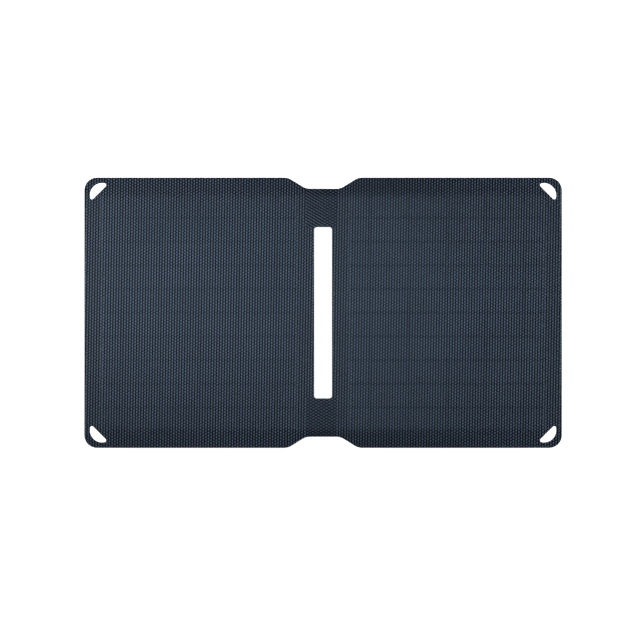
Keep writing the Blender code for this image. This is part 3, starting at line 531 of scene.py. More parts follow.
def circuit_material():
    """Green solder mask over copper tracks."""
    tree = Tree("circuit_laminate", (0.02, 0.12, 0.06), 0.4)
    place = tree.place()
    tracks_inputs = {"Vector": place, "Scale": 1.0 / (3 * MM)}
    cells = tree.node("TexVoronoi", tracks_inputs, distance="MANHATTAN")
    track = tree.spread(cells.outputs["Distance"], 0.45, 0.5)
    stain = tree.noise(place, 6 * MM)
    mask = tree.mix(stain, (0.012, 0.085, 0.040), (0.025, 0.15, 0.075))
    colour = tree.mix(track, mask, (0.05, 0.22, 0.10))
    roughness = tree.spread(stain, 0.3, 0.7, 0.32, 0.5)
    return tree.dressed(colour, roughness, tree.bump(track, 0.03 * MM))


def lens_material():
    """Clear polycarbonate, slightly frosted by its mould."""
    tree = Tree("clear_lens", (0.86, 0.89, 0.87), 0.12)
    haze = tree.noise(tree.place(), 0.5 * MM)
    tree.set("Transmission Weight", 0.7)
    tree.set("IOR", 1.58)
    colour = tree.mix(haze, (0.80, 0.84, 0.81), (0.92, 0.94, 0.92))
    roughness = tree.spread(haze, 0.3, 0.7, 0.08, 0.22)
    return tree.dressed(colour, roughness, tree.bump(haze, 0.01 * MM))


def make_materials():
    """One procedural material for each of the record's slots, by the slot's name."""
    brushed = {"metallic": 1.0, "stretch": (1.0, 0.1, 1.0)}
    drawn = {"metallic": 1.0, "stretch": (1.0, 1.0, 0.08)}
    made = (
        film_material(),
        fabric_material(),
        cell_material(),
        glass_board_material(),
        circuit_material(),
        lens_material(),
        grained("component_black", (0.030, 0.030, 0.031), 0.55, 0.3 * MM, 0.02 * MM),
        grained("capacitor_can", (0.70, 0.70, 0.72), 0.32, 0.15 * MM, 0.006 * MM, 0.08, **drawn),
        grained("plated_steel", (0.60, 0.60, 0.61), 0.28, 0.12 * MM, 0.006 * MM, 0.10, **brushed),
        grained("tinned_copper", (0.62, 0.62, 0.60), 0.34, 0.2 * MM, 0.008 * MM, 0.10, **brushed),
        grained("encapsulant", (0.012, 0.014, 0.018), 0.55, 0.5 * MM, 0.02 * MM, 0.35, specular=0.15),
        grained("moulded_housing", (0.014, 0.014, 0.015), 0.52, 0.28 * MM, 0.03 * MM, 0.3, specular=0.3),
        grained("soft_rubber", (0.019, 0.019, 0.020), 0.80, 0.4 * MM, 0.015 * MM, 0.3, specular=0.2),
        grained("socket_insulator", (0.80, 0.80, 0.78), 0.48, 0.3 * MM, 0.008 * MM, 0.05),
    )
    # The CAD's own materials have these names already, so Blender numbers the new ones
    return {material.name.split(".")[0]: material for material in made}


MATERIALS = make_materials()

# Outlines: (n, 2) arrays of x and y. An outer edge turns anticlockwise and a hole clockwise, so that the
# material is always on the left.


def top_loops(node):
    """The outlines of a CAD plate's upper face."""
    builder = bmesh.new()
    builder.from_mesh(frame["nodes"][node].data)
    bmesh.ops.remove_doubles(builder, verts=builder.verts, dist=0.001 * MM)
    top_z = max(corner.co.z for corner in builder.verts)
    caps = {f for f in builder.faces if min(corner.co.z for corner in f.verts) > top_z - SLIVER}
    beside = {}
    for edge in builder.edges:
        if sum(face in caps for face in edge.link_faces) == 1:
            a, b = edge.verts
            beside.setdefault(a, []).append(b)
            beside.setdefault(b, []).append(a)
    loops = []
    while beside:
        start = next(iter(beside))
        loop = [start]
        while True:
            ahead = [corner for corner in beside.pop(loop[-1]) if corner in beside]
            if not ahead:
                break
            loop.append(ahead[0])
        loops.append(np.array([(corner.co.x, corner.co.y) for corner in loop]))
    builder.free()
    return loops


def signed_area(loop):
    """Positive for an anticlockwise loop."""
    x, y = loop.T
    return np.sum(x * np.roll(y, -1) - np.roll(x, -1) * y) / 2


def turned(loop, anticlockwise):
    """The loop in the wanted sense."""
    return loop if (signed_area(loop) > 0) == anticlockwise else loop[::-1]


def mirrored(loop):
    return loop * (-1.0, 1.0)


def panel_step(a, b):
    """How close the points of a panel's edge lie: closer where the fold bends."""
    return FOLD_STEP if min(abs(a[0]), abs(b[0])) < FOLD_REACH + MM else EDGE_STEP


def refined(a, b, step):
    """The points from a up to b, no more than a step apart."""
    if np.linalg.norm(b - a) <= step:
        return [a]
    middle = (a + b) / 2
    return refined(a, middle, step) + refined(middle, b, step)


def refined_loop(loop, step=None):
    """The loop with more points, by this step or else by the panel's own."""
    points = []
    for a, b in zip(loop, np.roll(loop, -1, axis=0)):
        points += refined(a, b, step or panel_step(a, b))
    return np.array(points)


def joined_over_fold(edge):
    """A right-hand outline that starts at the fold, joined to its mirror image: the widest loop first."""
    fold_x = edge[:, 0].min() + SLIVER
    on_fold = edge[:, 0] < fold_x
    start = next(i for i in range(len(edge)) if on_fold[i - 1] and not on_fold[i])
    edge = np.roll(edge, -start, axis=0)
    turns = np.flatnonzero(np.diff(np.roll(on_fold, -start))) + 1
    runs = [run for run in np.split(edge, turns) if run[:, 0].min() > fold_x]
    whole = [np.concatenate([run, mirrored(run)[::-1]]) for run in runs]
    return sorted(whole, key=lambda loop: -np.ptp(loop[:, 0]))


def panel_loops():
    """The outer edge, the slot and the hanging holes of the whole panel, its leaves joined at the fold."""
    edge, *holes = sorted(top_loops("right_front_film"), key=lambda loop: -np.ptp(loop[:, 0]))
    outer, slot = joined_over_fold(edge)
    holes += [mirrored(hole) for hole in holes]
    loops = [turned(outer, True)] + [turned(loop, False) for loop in [slot, *holes]]
    return [refined_loop(loop) for loop in loops]


def arc(centre, radius, start_degrees, end_degrees, steps=CORNER_STEPS):
    angles = np.radians(np.linspace(start_degrees, end_degrees, steps + 1))
    return np.array(centre) + radius * np.column_stack([np.cos(angles), np.sin(angles)])


def circle(radius, centre=(0.0, 0.0)):
    return arc(centre, radius, 0.0, 360.0, CIRCLE_STEPS)[:-1]


def rounded_rectangle(half_x, half_y, radius, centre=(0.0, 0.0)):
    corners = []
    for turn, (x, y) in enumerate(((1, 1), (-1, 1), (-1, -1), (1, -1))):
        middle = (x * (half_x - radius), y * (half_y - radius))
        corners.append(arc(middle, radius, 90.0 * turn, 90.0 * (turn + 1)))
    return np.concatenate(corners) + np.array(centre)


def inset(loop, distance):
    """The loop moved into the material."""
    along = np.roll(loop, -1, axis=0) - np.roll(loop, 1, axis=0)
    along /= np.linalg.norm(along, axis=1)[:, None]
    return loop + distance * np.column_stack([-along[:, 1], along[:, 0]])


def inside(points, loops):
    """Which points lie in the material, by counting the edges to the right of each."""
    found = np.zeros(len(points), bool)
    for loop in loops:
        for (ax, ay), (bx, by) in zip(loop, np.roll(loop, -1, axis=0)):
            if ay == by:
                continue
            between = (points[:, 1] < ay) != (points[:, 1] < by)
            found ^= between & (points[:, 0] < ax + (points[:, 1] - ay) * (bx - ax) / (by - ay))
    return found


def edge_distances(points, loops):
    """How far each point is from the nearest edge."""
    corners = np.concatenate(loops)
    tree = kdtree.KDTree(len(corners))
    for i, (x, y) in enumerate(corners):
        tree.insert((x, y, 0.0), i)
    tree.balance()
    return np.array([tree.find((x, y, 0.0))[2] for x, y in points])


# Heights over the open panel


def smooth_step(value, low, high):
    t = np.clip((value - low) / (high - low), 0.0, 1.0)
    return t * t * (3.0 - 2.0 * t)


def emboss(x, y):
    """The film's relief: 1 on a dot, -0.5 in a pit, and shallower on the bands above and below the slot."""
    u = math.tau * (x * math.cos(LATTICE_TILT) + y * math.sin(LATTICE_TILT)) / COLUMN_PITCH
    v = math.tau * (y * math.cos(LATTICE_TILT) - x * math.sin(LATTICE_TILT)) / DOT_PITCH
    columns = np.cos(u)
    rising = np.cos(v - u / 2)
    falling = np.cos(v + u / 2)
    dots = (columns + rising + falling) / 3
    more = BAND_STRIPE_SHARE * (1 - smooth_step(x, *STRIPES_END_X)) * (y > 0)
    weave = BAND_COLUMN_SHARE * columns
    weave += (BAND_DIAGONAL_SHARE - more) * rising + (BAND_DIAGONAL_SHARE + more) * falling
    across = np.abs(x - BAND_CENTRE_X)
    band = 1 - smooth_step(across, BAND_HALF_WIDTH, BAND_HALF_WIDTH + BAND_SOFTNESS)
    band *= smooth_step(np.abs(y), BAND_START_Y, BAND_START_Y + 3 * BAND_SOFTNESS)
    return dots * (1 - band) + 0.35 * weave * band


def cell_field(x, y):
    """1 over the cells, 0 over the margins and the fold."""
    soft = FIELD_SOFTNESS / 2
    half_x = (CELL_HIGH.x - CELL_LOW.x) / 2
    across = 1 - smooth_step(np.abs(np.abs(x) - CELL_CENTRE_X), half_x - soft, half_x + soft)
    return across * (1 - smooth_step(np.abs(y), CELL_HIGH.y - soft, CELL_HIGH.y + soft))


def rim_drop(distance):
    """How far a rounded edge falls at this distance from it."""
    t = np.clip(distance / EDGE_ROUNDING, 0.0, 1.0)
    return EDGE_ROUNDING * (1 - np.sqrt(np.maximum(0.0, 1 - (1 - t) ** 2)))


def lattice_points(low, high):
    """The dots' middles and the pits between them, over a box."""
    across = np.arange(math.floor(low.x / COLUMN_PITCH) - 4, math.ceil(high.x / COLUMN_PITCH) + 5)
    along = np.arange(math.floor(low.y / DOT_PITCH) - 4, math.ceil(high.y / DOT_PITCH) + 5)
    column, row = grid_points(across, along).T
    shift = 0.5 * (column % 2)
    points = []
    for step_x, step_y in ((0.0, 0.0), (1 / 3, 0.5), (-1 / 3, 0.5)):
        u = (column + step_x) * COLUMN_PITCH
        v = (row + shift + step_y) * DOT_PITCH
        x = u * math.cos(LATTICE_TILT) - v * math.sin(LATTICE_TILT)
        y = v * math.cos(LATTICE_TILT) + u * math.sin(LATTICE_TILT)
        points.append(np.column_stack([x, y]))
    return np.concatenate(points)


def grid_points(across, along):
    return np.column_stack([axis.ravel() for axis in np.meshgrid(across, along)])


def fold_points(step_y):
    """A finer grid where the leaves bend."""
    count = round(2 * (FOLD_REACH + MM) / FOLD_STEP)
    across = np.linspace(-FOLD_REACH - MM, FOLD_REACH + MM, count + 1)
    along = np.arange(FILM_LOW.y, FILM_HIGH.y, step_y) + step_y / 3
    return grid_points(across, along)


# Meshes


def triangulated(loops, inner):
    """Points and triangles between the loops. The loops' points come first, in their own order."""
    points = np.concatenate([*loops, inner])
    edges = []
    first = 0
    for loop in loops:
        count = len(loop)
        edges += [(first + i, first + (i + 1) % count) for i in range(count)]
        first += count
    unit = [Vector(point) for point in (points / MM).tolist()]
    _, _, faces, sources, _, _ = delaunay_2d_cdt(unit, edges, [], 0, 0.00001)
    source = np.array([origin[0] for origin in sources])
    triangles = source[np.array(faces)]
    kept = inside(points[triangles].mean(axis=1), loops)
    return points, triangles[kept]


def raised(points, height):
    return np.column_stack([points, np.broadcast_to(height(points), len(points))])


def new_object(name, data):
    made = bpy.data.objects.new(name, data)
    bpy.context.scene.collection.objects.link(made)
    return made


def new_piece(name, mesh, slot):
    """A visible piece with the material of its slot."""
    mesh.materials.append(MATERIALS[slot])
    piece = new_object(name, mesh)
    return piece


def smoothed(mesh, sharp_degrees):
    mesh.shade_smooth()
    mesh.set_sharp_from_angle(angle=math.radians(sharp_degrees))


def layer(name, loops, upper_inner, lower_inner, upper_height, lower_height, slot):
    """A closed sheet between two heights, each a function of points, with the rest place in a UV map."""
    upper, upper_faces = triangulated(loops, upper_inner)
    lower, lower_faces = triangulated(loops, lower_inner)
    faces = [upper_faces, lower_faces[:, ::-1] + len(upper)]
    first = 0
    for loop in loops:
        here = first + np.arange(len(loop))
        ahead = first + (np.arange(len(loop)) + 1) % len(loop)
        faces.append(np.column_stack([here, here + len(upper), ahead + len(upper)]))
        faces.append(np.column_stack([here, ahead + len(upper), ahead]))
        first += len(loop)
    points = np.concatenate([raised(upper, upper_height), raised(lower, lower_height)])
    mesh = bpy.data.meshes.new(name)
    mesh.from_pydata(points.tolist(), [], np.concatenate(faces).tolist())
    corners = np.zeros(len(mesh.loops), np.int32)
    mesh.loops.foreach_get("vertex_index", corners)
    uv_map = mesh.uv_layers.new(name="panel")
    uv_map.data.foreach_set("uv", points[corners, :2].astype(np.float32).ravel())
    smoothed(mesh, 50.0)
    return new_piece(name, mesh, slot)


def level(z):
    """A height that is the same everywhere."""
    return lambda points: z


def over_fold(piece):
    """Bakes a piece's place into its mesh."""
    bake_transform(piece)


# Laminate


def kept_inside(points, loops, margin):
    points = points[inside(points, loops)]
    return points[edge_distances(points, loops) > margin]


def skin_points(points, step, loops, margin):
    """The points of a skin's face: these beside the fold, a grid of this step over it, and the rims."""
    points = points[np.abs(points[:, 0]) > FOLD_REACH + FOLD_MARGIN]
    kept = kept_inside(np.concatenate([points, fold_points(step)]), loops, margin)
    return np.concatenate([kept, *(inset(loop, distance) for loop in loops for distance in RIM_INSETS)])


def rough_points(loops):
    """Enough points for a face that isn't seen."""
    return kept_inside(fold_points(ROUGH_STEP), loops, ROUGH_MARGIN)


def make_film(loops):
    """The embossed front film, one sheet over both leaves."""
    dots = lattice_points(Vector((-FILM_HIGH.x, FILM_LOW.y)), FILM_HIGH)
    inner = skin_points(dots, FOLD_STEP, loops, RIM_INSETS[-1] + DOTS_FROM_RIM)
    base = FILM_HIGH.z - DOT_RELIEF - FIELD_RISE

    def upper(points):
        x, y = points.T
        drop = rim_drop(edge_distances(points, loops))
        return base + DOT_RELIEF * emboss(x, y) + FIELD_RISE * cell_field(x, y) - drop

    lower = level(FILM_LOW.z - SKIN_OVERLAP)
    film = layer("front_film", loops, inner, rough_points(loops), upper, lower, "textured_film")
    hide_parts("left_front_film", "right_front_film")
    over_fold(film)


def make_core(loops):
    """The encapsulant that fills the laminate round the boards and cells, bare along every edge."""
    edges = [inset(loop, CORE_INSET) for loop in loops]
    grid = rough_points(edges)
    upper = level(FILM_LOW.z - 2 * SKIN_OVERLAP)
    lower = level(FABRIC_HIGH.z + SKIN_OVERLAP)
    core = layer("laminate_core", edges, grid, grid, upper, lower, "encapsulant")
    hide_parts("left_front_encapsulant", "right_front_encapsulant")
    over_fold(core)


def make_fabric(loops):
    """The woven back skin, one sheet over both leaves, pressed in round the boards and over the fold."""
    across = np.arange(-FILM_HIGH.x, FILM_HIGH.x, FABRIC_STEP)
    along = np.arange(FILM_LOW.y, FILM_HIGH.y, FABRIC_STEP)
    inner = skin_points(grid_points(across, along), FABRIC_STEP / 2, loops, FABRIC_FROM_RIM)

    def lower(points):
        x, y = np.abs(points).T
        soft = BOARD_EDGE_SOFTNESS
        half_x = (BOARD_HIGH.x - BOARD_LOW.x) / 2
        from_centre = np.abs(x - (BOARD_LOW.x + BOARD_HIGH.x) / 2)
        board_x = 1 - smooth_step(from_centre, half_x - soft, half_x + soft)
        board_y = 1 - smooth_step(y, BOARD_HIGH.y - soft, BOARD_HIGH.y + soft)
        return FABRIC_LOW.z + MARGIN_RISE * (1 - board_x * board_y)

    upper = level(FABRIC_HIGH.z + SKIN_OVERLAP)
    fabric = layer("back_fabric", loops, rough_points(loops), inner, upper, lower, "woven_fabric")
    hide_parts("left_back_fabric", "right_back_fabric")
    over_fold(fabric)


def make_conductors():
    """The flexible conductors that cross the fold, each in one piece over both leaves."""
    for end in ("top", "bottom"):
        low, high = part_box(f"right_{end}_jumper")
        edge = turned(joined_over_fold(top_loops(f"right_{end}_jumper")[0])[0], True)
        loops = [refined_loop(edge)]
        grid = kept_inside(fold_points(CONDUCTOR_STEP), loops, CONDUCTOR_STEP / 10)
        name = f"{end}_fold_conductor"
        heights = (level(high.z), level(low.z))
        conductor = layer(name, loops, grid, grid, *heights, "tinned_copper")
        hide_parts(f"left_{end}_jumper", f"right_{end}_jumper")
        over_fold(conductor)


# Controller


def lofted(name, rings, slot=None):
    """A closed solid through (outline, z) rings of equally many points, capped at both ends."""
    builder = bmesh.new()
    loops = [[builder.verts.new((x, y, z)) for x, y in outline] for outline, z in rings]
    for low, high in zip(loops, loops[1:]):
        for i in range(len(low)):
            j = (i + 1) % len(low)
            builder.faces.new((low[i], low[j], high[j], high[i]))
    builder.faces.new(loops[0][::-1])
    builder.faces.new(loops[-1])
    bmesh.ops.recalc_face_normals(builder, faces=builder.faces)
    mesh = bpy.data.meshes.new(name)
    builder.to_mesh(mesh)
    builder.free()
    smoothed(mesh, 35.0)
    return new_piece(name, mesh, slot) if slot else new_object(name, mesh)


def combined(piece, steps):
    """Applies (operation, helper) Booleans to the piece in turn, and removes the helpers."""
    for operation, helper in steps:
        modifier = piece.modifiers.new(helper.name, "BOOLEAN")
        modifier.operation = operation
        modifier.object = helper
    bpy.context.view_layer.update()
    mesh = bpy.data.meshes.new_from_object(piece.evaluated_get(bpy.context.evaluated_depsgraph_get()))
    piece.modifiers.clear()
    piece.data = mesh
    for _, helper in steps:
        bpy.data.objects.remove(helper)
    smoothed(mesh, 35.0)


def toward_front(x, z, y=0.0):
    """Turns a shape that is made face up so that its top looks towards -Y."""
    return Matrix.Translation((x, y, z)) @ Matrix.Rotation(math.radians(90.0), 4, "X")


def wall_opening(name, outline, wider, x, z):
    """A cutter through the cover's front wall, flared at its outer end."""
    out = -COVER_LOW.y
    rings = [(outline, out - COVER_WALL - MM), (outline, out - OPENING_FLARE)]
    rings += [(wider, out + SLIVER), (wider, out + MM)]
    cutter = lofted(name, rings)
    cutter.data.transform(toward_front(x, z))
    return cutter


def screw_places():
    """The centre of each cover screw, by node name."""
    places = {}
    for number in range(1, 5):
        low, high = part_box(f"cover_screw_{number}")
        places[f"cover_screw_{number}"] = (low + high) / 2
    return places


def make_cover():
    """The controller's cover, with its rounded edges, grooves and openings."""
    half = COVER_HIGH - COVER_CENTRE
    sizes = np.array([half.x, half.y, COVER_CORNER])

    def outline(inset_by):
        return rounded_rectangle(*(sizes - inset_by), COVER_CENTRE.xy)

    rings = []
    for angle in np.radians(np.linspace(0.0, 90.0, 9)):
        rim = outline(COVER_FILLET * (1 - math.sin(angle)))
        rings.append((rim, COVER_FILLET * (1 - math.cos(angle))))
    rings += [(outline(0.0), COVER_HIGH.z - COVER_RIM), (outline(COVER_RIM), COVER_HIGH.z)]
    cover = lofted("cover_shell", rings, "moulded_housing")

    inner = outline(COVER_WALL)
    steps = [("DIFFERENCE", lofted("hollow", [(inner, COVER_FLOOR), (inner, COVER_HIGH.z + MM)]))]
    places = screw_places()
    for name, place in places.items():
        ring = circle(POST_RADIUS, place.xy)
        steps.append(("UNION", lofted(f"{name}_post", [(ring, COVER_FLOOR / 2), (ring, POST_TOP_Z)])))
    for name, place in places.items():
        profile = (
            (COUNTERBORE_RADIUS + OPENING_FLARE, -MM),
            (COUNTERBORE_RADIUS + OPENING_FLARE, -SLIVER),
            (COUNTERBORE_RADIUS, OPENING_FLARE),
            (COUNTERBORE_RADIUS, COUNTERBORE_DEPTH),
            (SCREW_HOLE_RADIUS, COUNTERBORE_DEPTH),
            (SCREW_HOLE_RADIUS, POST_TOP_Z + MM),
        )
        bore = lofted(f"{name}_bore", [(circle(radius, place.xy), z) for radius, z in profile])
        steps.append(("DIFFERENCE", bore))
    for side in (-1, 1):
        for i in range(GROOVE_COUNT):
            x = COVER_CENTRE.x + side * GROOVES_CENTRE_X + (i - (GROOVE_COUNT - 1) / 2) * GROOVE_PITCH
            groove_rings = []
            for depth, share in GROOVE_PROFILE:
                half_width = GROOVE_HALF_WIDTH * share
                half_length = GROOVE_HALF_LENGTH - GROOVE_HALF_WIDTH + half_width
                capsule = rounded_rectangle(half_width, half_length, 0.98 * half_width, (x, COVER_CENTRE.y))
                groove_rings.append((capsule, depth * GROOVE_DEPTH))
            steps.append(("DIFFERENCE", lofted(f"groove_{side}_{i}", groove_rings)))

    usb_half_x = USB_HIGH.x - USB_CENTRE.x + OPENING_CLEARANCE
    usb_half_z = USB_HIGH.z - USB_CENTRE.z + OPENING_CLEARANCE
    mouth_sizes = np.array([usb_half_x, usb_half_z, PLUG_CORNER])
    mouth = rounded_rectangle(*mouth_sizes)
    flared = rounded_rectangle(*(mouth_sizes + OPENING_FLARE))
    steps.append(("DIFFERENCE", wall_opening("mouth", mouth, flared, USB_CENTRE.x, USB_CENTRE.z)))
    light_radius = LIGHT_HIGH.x - LIGHT_CENTRE.x + OPENING_CLEARANCE
    stem_radius = STEM_RADIUS + OPENING_CLEARANCE
    holes = (("light_hole", light_radius, LIGHT_CENTRE), ("stem_hole", stem_radius, ANCHOR_CENTRE))
    for name, radius, place in holes:
        opening = wall_opening(name, circle(radius), circle(radius + OPENING_FLARE), place.x, place.z)
        steps.append(("DIFFERENCE", opening))
    combined(cover, steps)
    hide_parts("controller_cover")
    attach(cover, "right_leaf")


def make_screws():
    """The four cross-head cover screws, all of one mesh."""
    angles = np.arange(CIRCLE_STEPS) * math.tau / CIRCLE_STEPS
    arms = np.cos(2 * angles) ** SCREW_ARM_SHARPNESS
    reach = SCREW_RECESS_WAIST + (SCREW_RECESS_RADIUS - SCREW_RECESS_WAIST) * arms
    cross = np.column_stack([np.cos(angles), np.sin(angles)]) * reach[:, None]
    places = screw_places()
    shared = None
    for number, (node, place) in enumerate(places.items(), 1):
        low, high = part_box(node)
        if shared is None:
            rings = [(SCREW_RECESS_TAPER * cross, low.z + SCREW_RECESS_DEPTH), (cross, low.z)]
            for share, drop in SCREW_HEAD_PROFILE:
                rings.append((circle(share * SCREW_HEAD_RADIUS), low.z + drop * SCREW_HEAD_HEIGHT))
            rings.append((circle(SCREW_SHANK_RADIUS), low.z + SCREW_HEAD_HEIGHT))
            rings.append((circle(SCREW_SHANK_RADIUS), high.z - SCREW_TIP))
            rings.append((circle(SCREW_SHANK_RADIUS - SCREW_TIP), high.z))
            screw = lofted(f"screw_{number}", rings, "plated_steel")
            shared = screw.data
        else:
            screw = new_object(f"screw_{number}", shared)
        screw.location = (place.x, place.y, 0.0)
        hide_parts(node)
        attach(screw, "right_leaf")


def flap_outline():
    """The flap, its web and its anchor in one outline: x, and z from the socket's middle."""
    half = FLAP_HIGH.z - USB_CENTRE.z
    anchor_half = ANCHOR_HIGH.z - USB_CENTRE.z
    step_radius = anchor_half - WEB_HALF_HEIGHT
    upper = np.concatenate([
        arc((FLAP_HIGH.x - FLAP_CORNER, half - FLAP_CORNER), FLAP_CORNER, 0.0, 90.0, 8),
        arc((FLAP_LOW.x + FLAP_ROOT_CORNER, half - FLAP_ROOT_CORNER), FLAP_ROOT_CORNER, 90.0, 180.0, 5),
        [(FLAP_LOW.x, WEB_HALF_HEIGHT)],
        arc((ANCHOR_HIGH.x - step_radius, WEB_HALF_HEIGHT), step_radius, 0.0, 90.0, 4),
        arc((ANCHOR_LOW.x + ANCHOR_CORNER, anchor_half - ANCHOR_CORNER), ANCHOR_CORNER, 90.0, 180.0, 6),
    ])
    return np.concatenate([upper, (upper * (1.0, -1.0))[::-1]])


def depth_inside(points, half_x, half_y, radius, centre):
    """How far each point lies inside a rounded rectangle, and negative outside it."""
    beyond = np.abs(points - np.array(centre)) - (half_x - radius, half_y - radius)
    outside = np.linalg.norm(np.maximum(beyond, 0.0), axis=1)
    return radius - outside - np.minimum(beyond.max(axis=1), 0.0)


def make_flap():
    """The rubber flap and its anchor in one piece, joined by the thin web between them."""
    loops = [refined_loop(flap_outline(), RUBBER_STEP)]
    face = -FLAP_LOW.y
    back = -FLAP_HIGH.y
    plug_end = -ANCHOR_HIGH.y
    web_x = (FLAP_LOW.x + ANCHOR_HIGH.x) / 2
    flap_middle = ((FLAP_LOW.x + FLAP_HIGH.x) / 2, 0.0)
    flap_half = ((FLAP_HIGH.x - FLAP_LOW.x) / 2, FLAP_HIGH.z - USB_CENTRE.z)
    plug_middle = (USB_CENTRE.x, 0.0)
    stem_middle = (ANCHOR_CENTRE.x, 0.0)
    rib_middles = [(FLAP_HIGH.x - RIBS_FROM_TIP - i * RIB_PITCH, 0.0) for i in range(RIB_COUNT)]

    def outer_face(points):
        depth = depth_inside(points, *flap_half, FLAP_CORNER, flap_middle)
        sunk = smooth_step(depth, FLAP_BORDER, FLAP_BORDER + 2 * STEEP_RUN)
        ribs = np.zeros(len(points))
        for middle in rib_middles:
            rib = depth_inside(points, RIB_HALF_WIDTH, RIB_HALF_LENGTH, RIB_HALF_WIDTH, middle)
            ribs = np.maximum(ribs, smooth_step(rib, -STEEP_RUN, STEEP_RUN))
        return face - FLAP_RECESS * sunk * (1 - ribs) - rim_drop(edge_distances(points, loops))

    def inner_face(points):
        web = 1 - smooth_step(np.abs(points[:, 0] - web_x), WEB_REACH / 2, WEB_REACH)
        height = back + (face - WEB_THICKNESS - back) * web
        plug = depth_inside(points, PLUG_HALF_LENGTH, PLUG_HALF_HEIGHT, PLUG_CORNER, plug_middle)
        stem = STEM_RADIUS - np.linalg.norm(points - np.array(stem_middle), axis=1)
        raised_share = smooth_step(np.maximum(plug, stem), 0.0, STEEP_RUN)
        drop = np.minimum(rim_drop(edge_distances(points, loops)), 0.5 * WEB_THICKNESS)
        return height + (plug_end - height) * raised_share + drop

    across = np.arange(ANCHOR_LOW.x, FLAP_HIGH.x, RUBBER_STEP)
    along = np.arange(-flap_half[1], flap_half[1], RUBBER_STEP) + RUBBER_STEP / 3
    grid = grid_points(across, along)
    rims = [kept_inside(inset(loops[0], distance), loops, 0.8 * distance) for distance in RIM_INSETS]
    web_column = np.column_stack([np.full(12, 1.0), np.linspace(-0.9, 0.9, 12) * WEB_HALF_HEIGHT])
    steps = []
    for share in (0.0, -0.5, -1.0, 0.0, 0.5, 1.0):
        steps.append(web_column * (web_x + share * WEB_REACH, 1.0))
    inner_rings = []
    outer_rings = []
    for run in (0.0, 0.5 * STEEP_RUN, STEEP_RUN):
        half_sizes = (PLUG_HALF_LENGTH - run, PLUG_HALF_HEIGHT - run)
        plug_ring = rounded_rectangle(*half_sizes, PLUG_CORNER - run, plug_middle)
        inner_rings += [refined_loop(plug_ring, RUBBER_STEP), circle(STEM_RADIUS - run, stem_middle)]
    for run in (0.0, STEEP_RUN, 2 * STEEP_RUN):
        inner_half = (flap_half[0] - FLAP_BORDER - run, flap_half[1] - FLAP_BORDER - run)
        border = rounded_rectangle(*inner_half, FLAP_CORNER - FLAP_BORDER - run, flap_middle)
        outer_rings.append(refined_loop(border, RUBBER_STEP))
    for middle in rib_middles:
        for run in (-STEEP_RUN, 0.0, STEEP_RUN):
            half_sizes = (RIB_HALF_WIDTH - run, RIB_HALF_LENGTH - run)
            rib_ring = rounded_rectangle(*half_sizes, 0.98 * half_sizes[0], middle)
            outer_rings.append(refined_loop(rib_ring, RUBBER_STEP))
    grid = kept_inside(grid, loops, RIM_INSETS[-1])
    outer_points = np.concatenate([grid, *rims, *outer_rings])
    inner_points = np.concatenate([grid, *rims, *steps, *inner_rings])
    faces = (outer_face, inner_face)
    flap = layer("rubber_flap", loops, outer_points, inner_points, *faces, "soft_rubber")
    flap.data.transform(toward_front(0.0, USB_CENTRE.z))
    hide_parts("port_flap", "port_flap_anchor")
    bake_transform(flap)


def make_contacts():
    """The socket's four contact strips, along the lower face of its tongue."""
    tip_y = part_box("usb_insulator")[0].y
    z = USB_CENTRE.z + TONGUE_LOW_Z
    for number, x in enumerate(CONTACT_XS, 1):
        centre = (USB_CENTRE.x + x, tip_y + TONGUE_LENGTH / 2)
        sizes = np.array([CONTACT_WIDTH / 2, CONTACT_LENGTH / 2, CONTACT_CORNER])
        full = rounded_rectangle(*sizes, centre)
        eased = rounded_rectangle(*(sizes - CONTACT_EASE), centre)
        rings = [(eased, z - CONTACT_HEIGHT), (full, z - 0.5 * CONTACT_HEIGHT), (full, z + CONTACT_SUNK)]
        contact = lofted(f"usb_contact_{number}", rings, "tinned_copper")
        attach(contact, "right_leaf")


# Stage


def make_stage():
    """A pale floor that gives off light, and that a camera below it sees through."""
    side = FLOOR_HALF_SIDE
    z = CAD_LOW.z - FLOOR_GAP
    corners = [(-side, -side, z), (side, -side, z), (side, side, z), (-side, side, z)]
    floor_mesh = bpy.data.meshes.new("floor")
    floor_mesh.from_pydata(corners, [], [(0, 1, 2, 3)])
    tree = Tree("floor", (0.80, 0.80, 0.80), 0.9)
    tree.set("Emission Color", (1.0, 1.0, 1.0, 1.0))
    tree.set("Emission Strength", 1.0)
    below = tree.node("NewGeometry", {}).outputs["Backfacing"]
    clear = tree.node("BsdfTransparent", {})
    sides = {0: below, 1: tree.surface.outputs["BSDF"], 2: clear.outputs["BSDF"]}
    mixed = tree.node("MixShader", sides)
    output = tree.own.nodes["Material Output"]
    tree.feed(output.inputs["Surface"], mixed.outputs["Shader"])
    floor_mesh.materials.append(tree.material)
    new_object("floor", floor_mesh)


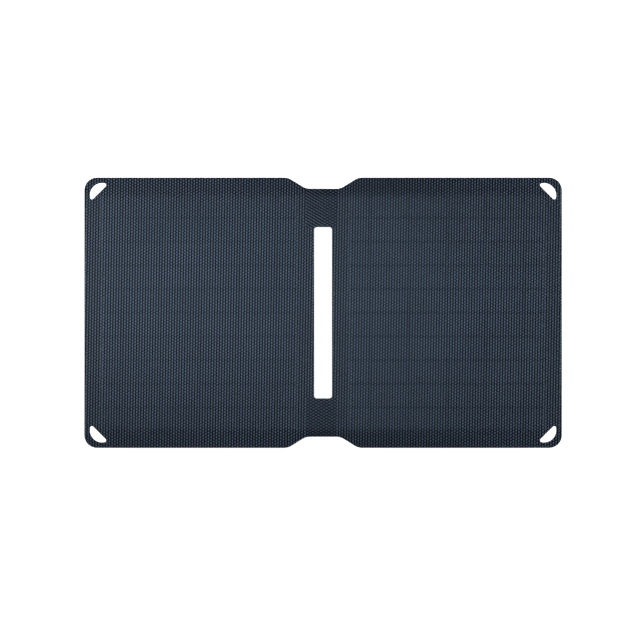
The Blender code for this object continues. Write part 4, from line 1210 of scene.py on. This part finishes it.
def make_light(name, kind, place, target, size, power):
    """A round light of this kind that looks at its target."""
    light = bpy.data.lights.new(name, kind)
    light.energy = power
    if kind == "AREA":
        light.shape = "DISK"
        light.size = size
    else:
        light.shadow_soft_size = size / 2
    lamp = new_object(name, light)
    lamp.location = place
    lamp.rotation_mode = "QUATERNION"
    lamp.rotation_quaternion = (Vector(target) - Vector(place)).to_track_quat("-Z", "Y")
    return lamp


def make_lights():
    """Soft lights from all sides, and a soft-edged beam that falls off towards the panel's long edges."""
    world = bpy.data.worlds.new("studio")
    world.use_nodes = True
    background = world.node_tree.nodes["Background"].inputs
    background["Color"].default_value = (1.0, 1.0, 1.0, 1.0)
    background["Strength"].default_value = WORLD_STRENGTH
    bpy.context.scene.world = world
    bpy.context.scene.view_settings.view_transform = "Standard"
    make_light("key", "AREA", (-1.10, 0.48, 0.75), (-0.05, 0.0, 0.0), size=0.35, power=3.0)
    beam = make_light("beam", "SPOT", (-1.15, 0.12, 0.80), (-0.09, 0.02, 0.0), size=0.30, power=108.0)
    beam.data.spot_size = BEAM_ANGLE
    beam.data.spot_blend = 1.0
    beam.scale = BEAM_STRETCH
    make_light("side", "AREA", (0.80, 0.40, 0.40), (0.20, 0.02, 0.0), size=0.30, power=4.4)
    make_light("fill", "AREA", (0.50, 0.90, 1.60), (0.05, 0.0, 0.0), size=1.20, power=0.8)


def make_camera():
    """A long lens square on to the cell face, far enough to take in its view width at the film's height."""
    camera_data = bpy.data.cameras.new("camera")
    camera_data.lens = CAMERA_LENS_MM
    camera_data.sensor_width = CAMERA_SENSOR_MM
    camera = new_object("camera", camera_data)
    distance = CAMERA_VIEW_WIDTH * CAMERA_LENS_MM / CAMERA_SENSOR_MM
    camera.location = (*CAMERA_CENTRE, CAD_HIGH.z + distance)
    bpy.context.scene.camera = camera


def dress_cad_nodes():
    """Gives each CAD node that still shows the material of its slot."""
    for part in frame["record"]["subparts"]:
        node = frame["nodes"][part["node"]]
        node.data.materials.clear()
        node.data.materials.append(MATERIALS[part["material_slot"]])


def main():
    dress_cad_nodes()
    make_camera()
    loops = panel_loops()
    make_film(loops)
    make_core(loops)
    make_fabric(loops)
    make_conductors()
    make_cover()
    make_screws()
    make_flap()
    make_contacts()
    make_stage()
    make_lights()


main()
